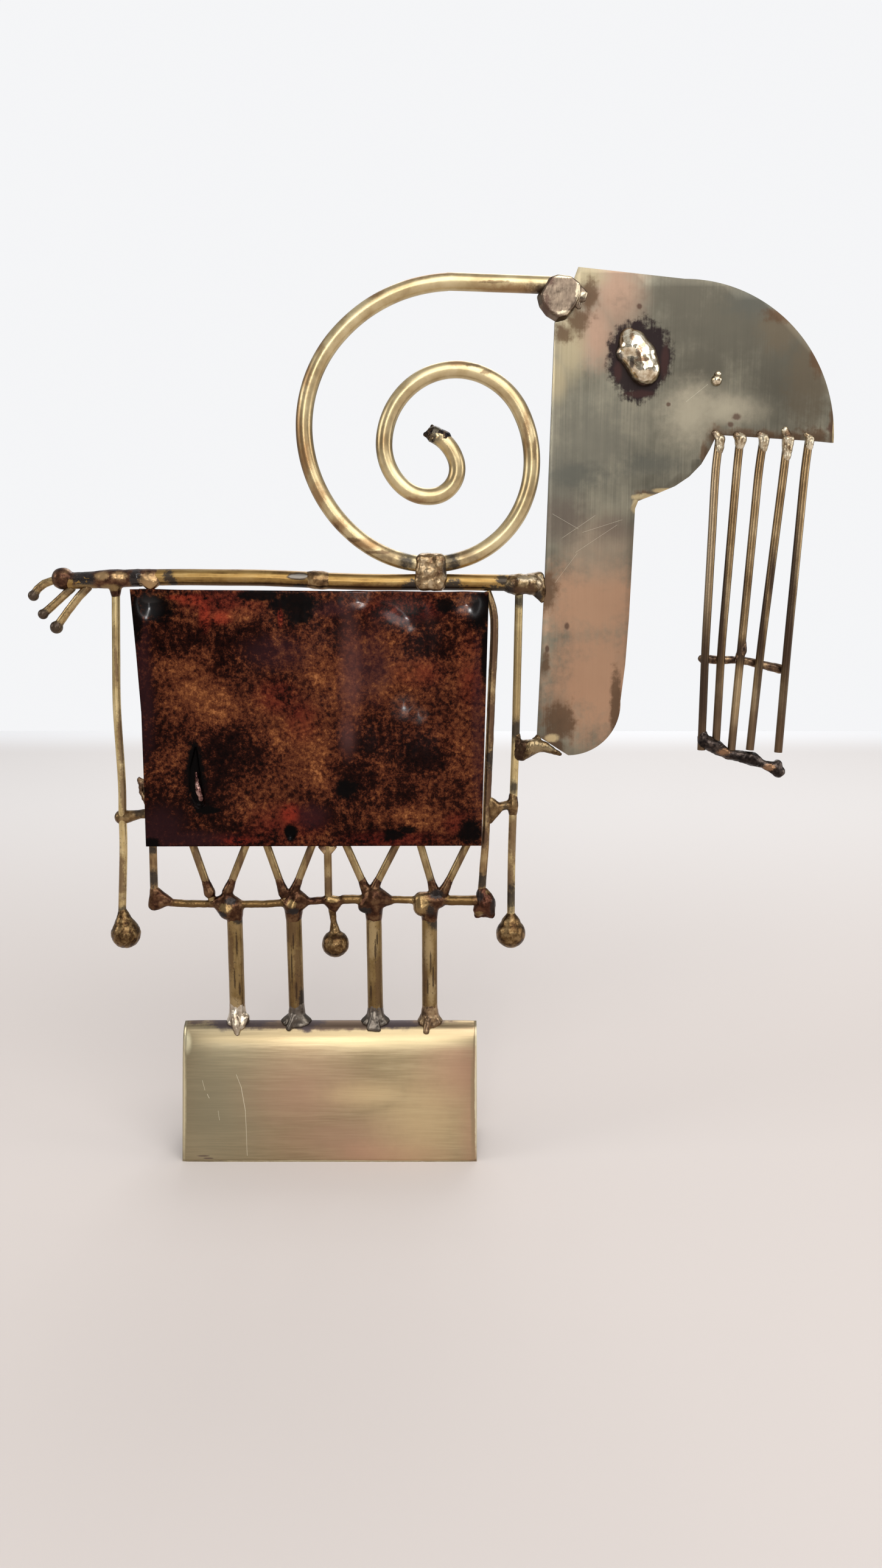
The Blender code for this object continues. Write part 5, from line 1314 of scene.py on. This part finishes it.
# the torn end: how far each bead lies past the rod's end and across it, and its radius
HORN_TEARS = [[(-3.0, 0, 2.03), (-0.6, 0, 2.0)], [(-0.8, 0, 1.7), (1.5, 0.9, 0.45)],
              [(-0.8, 0, 1.6), (0.7, -1.6, 0.4)], [(-0.6, 0, 1.5), (0.5, 0, 1.0)]]
torn_layers = [
    ((0.70, 0.54, 0.30), 0.9, 0.285, 1.0, 1.4, 0.3,
     [(horn_end + Vector((1.2, -1.8, -0.8)), (1.4, 1.5, 0.6))]),
]
TORN_END = finish("torn_horn_end", [(0.010, 0.008, 0.009), (0.020, 0.015, 0.014), (0.12, 0.08, 0.045)],
                  (0.26, 0.45), 1.6, torn_layers, relief=0.1)
torn_beads = [[bead(horn_end + horn_heading * ahead + across * aside, radius) for ahead, aside,
               radius in group]
              for group in HORN_TEARS]
braze("horn_torn_end", torn_beads, TORN_END, "horn", voxel=0.18, swell=0.16, swell_size=0.9, grain=0.05,
      smoothing=5)

saddle_layers = [(SOOT, 0.8, 0.35, 0.6, 1.4, 0.3, spots(-1, 3, (4.6, 151.2, 0.8, 2.6)))]
SADDLE_METAL = finish("saddle_filler", [(0.10, 0.054, 0.030), (0.28, 0.19, 0.10), (0.44, 0.335, 0.21)],
                      GLOSSY, 1.8, saddle_layers, relief=0.08)
saddle = [(x, y, z, 1.6) for x in (-0.9, 3.3) for y in (-1.5, 1.5) for z in (SADDLE_FOOT, SADDLE_TOP)]
saddle_lumps = [[(-1.6, -1.6, 148.4, 1.3), (-1.2, -2.0, 152.0, 1.2)],
                [(2.6, -2.2, 153.6, 1.2), (3.8, -1.8, 149.2, 1.4)], [(0.8, -2.4, 150.4, 1.3)]]
braze("horn_saddle", [saddle, *saddle_lumps], SADDLE_METAL, "horn", swell=0.32, swell_size=1.7, grain=0.06,
      smoothing=6)

disc_layers = [
    # painted shade: dark on the disc's left side, the side turned from the light
    ((0.09, 0.05, 0.035), 0.85, 0.4, 0.7, 1.5, 0.3,
     spots(-1, 3, (28.2, 212.0, 1.1, 3.0), (29.0, 217.0, 1.4, 1.2))),
    ((0.70, 0.59, 0.41), 0.85, 0.285, 1.0, 1.6, 0.3,
     [((32.8, -2, 210.0), (2.2, 3, 0.5)), ((35.5, -2, 214.6), (0.6, 3, 2.0)),
      ((32.4, -2, 218.0), (2.4, 3, 0.4)), ((37.2, -1, 214.4), (1.0, 3, 0.6))]),
]
DISC_METAL = finish("disc_pewter", [(0.10, 0.072, 0.052), (0.18, 0.135, 0.098), (0.25, 0.19, 0.135)],
                    (0.285, 0.36), 1.5, disc_layers, strokes=(900.0, 900.0, 260.0), relief=0.05,
                    streaking=0.4)
DISC_RIM = [(30.8, 217.9), (33.6, 217.6), (35.5, 216.2), (35.4, 214.2), (34.4, 211.9), (32.8, 210.0),
            (31.2, 209.6), (29.3, 210.7), (27.9, 212.4), (27.4, 214.1), (28.6, 215.8), (29.5, 217.5)]
disc_rim = [(x, -2.3, z, 0.62) for x, z in DISC_RIM]
disc_back = [(x - 0.4, -0.6, z - 0.3, 0.9) for x, z in DISC_RIM]
disc_splash = [[(35.2, -0.5, 216.6, 0.8), (35.6, -0.5, 213.6, 1.0), (37.4, -0.2, 214.8, 0.7),
                (37.0, -0.2, 213.4, 0.7)],
               [(35.0, -0.5, 213.6, 1.0), (36.0, -0.2, 211.8, 0.7)]]
braze("horn_disc", [disc_rim + disc_back, *along(disc_rim + disc_rim[:1]), *disc_splash], DISC_METAL,
      "horn", voxel=0.18, swell=0.06, swell_size=2.2, grain=0.012, grain_size=0.5, smoothing=2)


# ---------------------------------------------------------------- the braze at the foot of the neck
# Filler that ties the neck's lower corner to the front side rod, brown at the rod and rippled gold
# towards the neck.

NECK_FOOT = [[(23.9, 0, 107.6, 1.5), (24.0, 0, 105.2, 1.5), (27.2, 0, 107.4, 1.75)],
             [(27.2, 0, 107.4, 1.75), (29.6, 0, 107.4, 1.35)],
             [(29.6, 0, 107.4, 1.35), (31.4, 0, 106.4, 0.95)],
             [(31.4, 0, 106.4, 0.95), (33.6, 0, 105.4, 0.5)],
             [(27.4, -0.4, 107.8, 1.7), (28.0, 0, 110.0, 0.6)],
             [(25.6, -0.9, 106.2, 1.2), (26.2, -0.9, 108.2, 1.1)],
             [(22.6, 0, 110.0, 1.05), (22.9, 0, 105.0, 1.3)]]
foot_layers = [
    (DEEP_BROWN, 0.85, 0.3, 0.9, 1.0, 0.4, spots(0, 3, (23.4, 106.5, 2.0, 4.0))),
    ((0.33, 0.25, 0.14), 0.8, 0.285, 1.0, 1.8, 0.4,
     [((27.6, -2, 107.6), (1.9, 2, 1.9)), ((31.0, -1, 107.2), (2.2, 2, 0.8))]),
]
FOOT_METAL = finish("neck_foot_filler", [(0.05, 0.025, 0.012), (0.13, 0.080, 0.036), (0.27, 0.185, 0.09)],
                    GLOSSY, 1.6, foot_layers, relief=0.06)
braze("neck_foot_braze", NECK_FOOT, FOOT_METAL, "neck_foot_weld", voxel=0.2, swell=0.2, swell_size=1.1,
      smoothing=6)


# ---------------------------------------------------------------- the beard
# Five thin rods hang from the muzzle, each on a small gold weld, silvery above and blackened below.
# A bar of dark melted filler joins their ends, and another ties them behind, half way down.

BEARD_LEVELS = 179.0, 174.2, 160.0, 146.0, 132.7, 121.0, 112.0
beard_lines = []
for number in range(1, 6):
    end = 0.6 if number > 4 else 0.0
    beard_lines.append(longer(centre_line(f"beard_rod_{number}", *BEARD_LEVELS), 3.4, 5.5 + end))
BOTTOM_BAR = [(69.9, 0, 108.6, 1.8), (72.4, 0, 107.5, 1.9), (75.6, 0, 105.5, 1.3), (79.0, 0, 104.9, 1.5),
              (82.0, 0, 104.2, 1.8), (84.6, 0, 102.9, 1.0), (87.2, 0, 102.1, 1.5), (88.8, 0, 101.0, 1.6)]
CROSSBAR = [(68.9, 2.4, 129.2, 1.1), (72.8, 2.4, 128.9, 1.1), (76.4, 2.3, 128.9, 0.95),
            (80.0, 2.3, 128.6, 1.0), (84.4, 2.4, 127.6, 1.1), (88.6, 2.5, 126.6, 1.2)]
beard_layers = [
    ((0.46, 0.35, 0.225), 0.8, 0.285, 1.0, 0.4, 0.6,
     spots(-0.4, 2, (68.7, 158, 1.0, 22), (72.6, 172, 0.7, 9))),
    ((0.11, 0.066, 0.038), 0.85, 0.4, 0.9, 0.4, 0.6,
     spots(0, 3, (69.2, 113, 2.0, 13), (72.8, 113, 2, 9), (77.0, 109, 1.8, 5), (82, 110, 1.8, 8),
           (88.7, 111, 1.8, 9))),
    ((0.042, 0.024, 0.015), 0.93, 0.34, 0.8, 0.3, 0.6,
     [((68.9, -0.4, 125), (1.1, 2, 16)), ((72.7, -0.4, 144), (0.75, 2, 26)),
      ((77.5, -0.4, 156), (0.65, 2, 18)), ((82.6, -0.4, 142), (0.8, 2, 30)),
      ((89.2, -0.4, 145), (1.3, 2, 34)), ((77.9, 0, 131.0), (1.6, 3, 3.4)), ((89.6, 0, 136), (0.9, 3, 14)),
      ((68.9, 0, 128.6), (1.4, 3, 2.6)), ((84.4, 0, 150), (0.8, 3, 7))]),
]
BEARD_BRASS = finish("beard_brass", [(0.17, 0.100, 0.046), (0.28, 0.185, 0.092), (0.40, 0.29, 0.165)],
                     GLOSSY, 14.0, beard_layers, relief=0.0)
for number, line in enumerate(beard_lines, 1):
    drawn_rod(f"beard_strand_{number}", line, THIN, BEARD_BRASS, f"beard_rod_{number}", swell=0.02,
              swell_size=12.0, grain=0.0)

# each root's radius, how far it runs down its rod, and a lump beside it: offset and radius
ROOTS = [(1.25, 2.6, (-1.3, 0.9, 1.0)), (1.45, 1.6, (-1.1, 0.4, 1.1)), (1.3, 2.2, (-1.2, 0.6, 0.9)),
         (1.5, 4.2, (-0.9, 1.6, 1.1)), (1.15, 1.8, (-1.0, 0.5, 0.8))]
LUMP_SHARE = 0.8        # the lumps and what joins them are this much of a root's size
root_groups = []
for (radius, run, (aside, rise, lump)), line in zip(ROOTS, beard_lines):
    top = line[0] + Vector((0, -0.3, 0.0))
    for group in (((0, -0.6, radius), (-0.1, -0.6 - run, 1.0)),
                  ((0, -0.4, radius * LUMP_SHARE), (aside, rise, lump * LUMP_SHARE))):
        root_groups.append([bead(top + Vector((x, 0, z)), size) for x, z, size in group])
root_layers = [((0.10, 0.055, 0.03), 0.85, 0.35, 0.9, 1.4, 0.3,
                spots(-1, 3, (67.8, 183.8, 1.6, 1.6), (79.6, 183.6, 1.0, 1.2), (86.6, 183.0, 1.0, 1.0),
                      (74.0, 183.6, 1.0, 0.9)))]
ROOT_METAL = finish("root_filler", [(0.20, 0.13, 0.07), (0.48, 0.39, 0.26), (0.74, 0.65, 0.49)], GLOSSY, 1.6,
                    root_layers, relief=0.03)
braze("beard_roots", root_groups, ROOT_METAL, "beard_rod_1", voxel=0.18, swell=0.2, swell_size=1.2,
      grain=0.02, smoothing=5)

bar_layers = [((0.34, 0.18, 0.09), 0.7, 0.3, 0.9, 1.8, 0.4,
               spots(-1, 3, (74.4, 106.2, 1.5, 0.8), (86.0, 102.2, 1.4, 0.8)))]
BAR_METAL = finish("burnt_filler", [(0.010, 0.008, 0.008), (0.032, 0.024, 0.021), (0.11, 0.084, 0.07)],
                   SATIN, 1.8, bar_layers, relief=0.07)
bar_lumps = [[(70.6, -0.9, 108.4, 1.3), (72.6, -0.8, 107.8, 1.3)],
             [(81.2, -0.7, 104.6, 1.5), (82.6, -0.7, 103.6, 1.2)],
             [(69.3, 0, 110.6, 1.15), (69.7, 0, 108.6, 1.6)], [(88.4, 0, 102.8, 1.25), (88.7, 0, 101.0, 1.5)]]
braze("beard_foot_bar", [*along(BOTTOM_BAR), *bar_lumps], BAR_METAL, "beard_bottom_bar", swell=0.24,
      swell_size=1.5, grain=0.06, smoothing=6)
TIE_METAL = finish("tie_filler", [(0.04, 0.026, 0.02), (0.13, 0.08, 0.05), (0.30, 0.20, 0.11)], SATIN, 1.8,
                   relief=0.06)
tie_kinks = [[(77.6, 0.2, 129.4, 1.12), (78.2, 0.1, 131.4, 1.2)],
             [(78.2, 0.1, 131.4, 1.2), (78.1, 0, 133.6, 1.0)],
             [(77.9, 2.2, 128.8, 1.0), (77.8, 0.2, 129.4, 1.1)]]
braze("beard_tie_bar", [*along(CROSSBAR), *tie_kinks], TIE_METAL, "beard_crossbar", slot="dark_rod",
      swell=0.2, swell_size=1.6, smoothing=6)


# ---------------------------------------------------------------- floor, light and camera
# A plain pale floor, a large soft lamp high in front, a weaker one at each side and one behind, and
# two small ones far in front that make the lacquer's glints. The pale room is darker to the left.

FLOOR_FRONT, FLOOR_BACK, FLOOR_SIDE = -1.6, 0.80, 1.6
# the floor pales with its distance behind the goat, over these metres, into the pale room
FLOOR_NEAR = (0.63, 0.57, 0.535, 1.0)
FLOOR_MIDDLE = (0.76, 0.725, 0.705, 1.0)
FLOOR_FAR = (0.93, 0.93, 0.94, 1.0)
FLOOR_FADE = 0.66, 0.80
EYE_HEIGHT, EYE_DISTANCE, EYE_ASIDE = 0.1519, 0.292, 0.00365
LENS, SENSOR, LOOK_DOWN = 26.97, 36.0, 10.5
# the room's light at the horizon, what it gains overhead, what share it loses to the left, and how
# bright and what colour its walls look
ROOM_LEVEL, ROOM_RISE, ROOM_LEFT_LOSS = 0.34, 0.36, 0.18
ROOM_SEEN, ROOM_TINT = 0.93, (0.98, 0.985, 1.0, 1.0)
# place, width, height and power of each soft lamp, in metres and watts; all point at the goat
LAMPS = {"window": ((0.32, -0.86, 0.82), 1.3, 0.9, 10.0), "right": ((1.05, -0.12, 0.35), 0.5, 0.5, 2.6),
         "left": ((-1.05, -0.25, 0.5), 0.5, 0.5, 2.6), "back": ((0.1, 0.9, 0.9), 0.7, 0.7, 4.0),
         "strip": ((-0.11, -1.2, 0.22), 0.05, 0.44, 0.35), "glint": ((-0.14, -1.2, 0.40), 0.09, 0.05, 1.2)}

floor = bmesh.new()
floor.faces.new([floor.verts.new((x / MM, y / MM, 0)) for x, y in (
    (-FLOOR_SIDE, FLOOR_FRONT), (FLOOR_SIDE, FLOOR_FRONT), (FLOOR_SIDE, FLOOR_BACK),
    (-FLOOR_SIDE, FLOOR_BACK))])
floor_paint, paint, floor_shader, floor_place = plain_material("pale_floor")
distance = put(paint, "ShaderNodeSeparateXYZ", {0: floor_place}).outputs["Y"]
paler = blend_of(paint, between(paint, distance, 0.0, 0.5), FLOOR_NEAR, FLOOR_MIDDLE, of_colours=True)
paler = blend_of(paint, between(paint, distance, *FLOOR_FADE), paler, FLOOR_FAR, of_colours=True)
paint.links.new(paler, floor_shader.inputs["Base Color"])
floor_shader.inputs["Roughness"].default_value = 0.85
ground = object_of("floor", floor, floor_paint)
ground.data.transform(Matrix.Scale(MM, 4))

world = bpy.data.worlds.new("pale_room")
bpy.context.scene.world = world
world.use_nodes = True
room = world.node_tree
background = room.nodes["Background"]
direction = put(room, "ShaderNodeTexCoord").outputs["Generated"]
parts_of = put(room, "ShaderNodeSeparateXYZ", {0: direction}).outputs
upward = between(room, parts_of["Z"], 0.05, 0.95)
leftward = between(room, parts_of["X"], 0.25, -0.95)
glow = sum_of(room, "MULTIPLY_ADD", upward, ROOM_RISE, ROOM_LEVEL)
glow = sum_of(room, "MULTIPLY", glow, sum_of(room, "MULTIPLY_ADD", leftward, -ROOM_LEFT_LOSS, 1.0))
seen = put(room, "ShaderNodeLightPath").outputs["Is Camera Ray"]
room.links.new(blend_of(room, seen, glow, ROOM_SEEN), background.inputs["Strength"])
background.inputs["Color"].default_value = ROOM_TINT

aim = (Vector(CAD_BOX[0]) + Vector(CAD_BOX[1])) / 2
for name, (place, width, height, power) in LAMPS.items():
    lamp = bpy.data.lights.new(name, "AREA")
    lamp.shape = "RECTANGLE"
    lamp.size, lamp.size_y = width, height
    lamp.energy = power
    lamp_object = bpy.data.objects.new(name, lamp)
    lamp_object.location = place
    lamp_object.rotation_euler = (aim - Vector(place)).to_track_quat("-Z", "Y").to_euler()
    bpy.context.scene.collection.objects.link(lamp_object)

camera = bpy.data.cameras.new("camera")
camera.lens = LENS
camera.sensor_width = SENSOR
camera.clip_start = 0.01
eye_point = bpy.data.objects.new("camera", camera)
eye_point.location = (EYE_ASIDE, -EYE_DISTANCE, EYE_HEIGHT)
eye_point.rotation_euler = (math.radians(90.0 - LOOK_DOWN), 0.0, 0.0)
bpy.context.scene.collection.objects.link(eye_point)
bpy.context.scene.camera = eye_point
bpy.context.scene.view_settings.view_transform = "Standard"
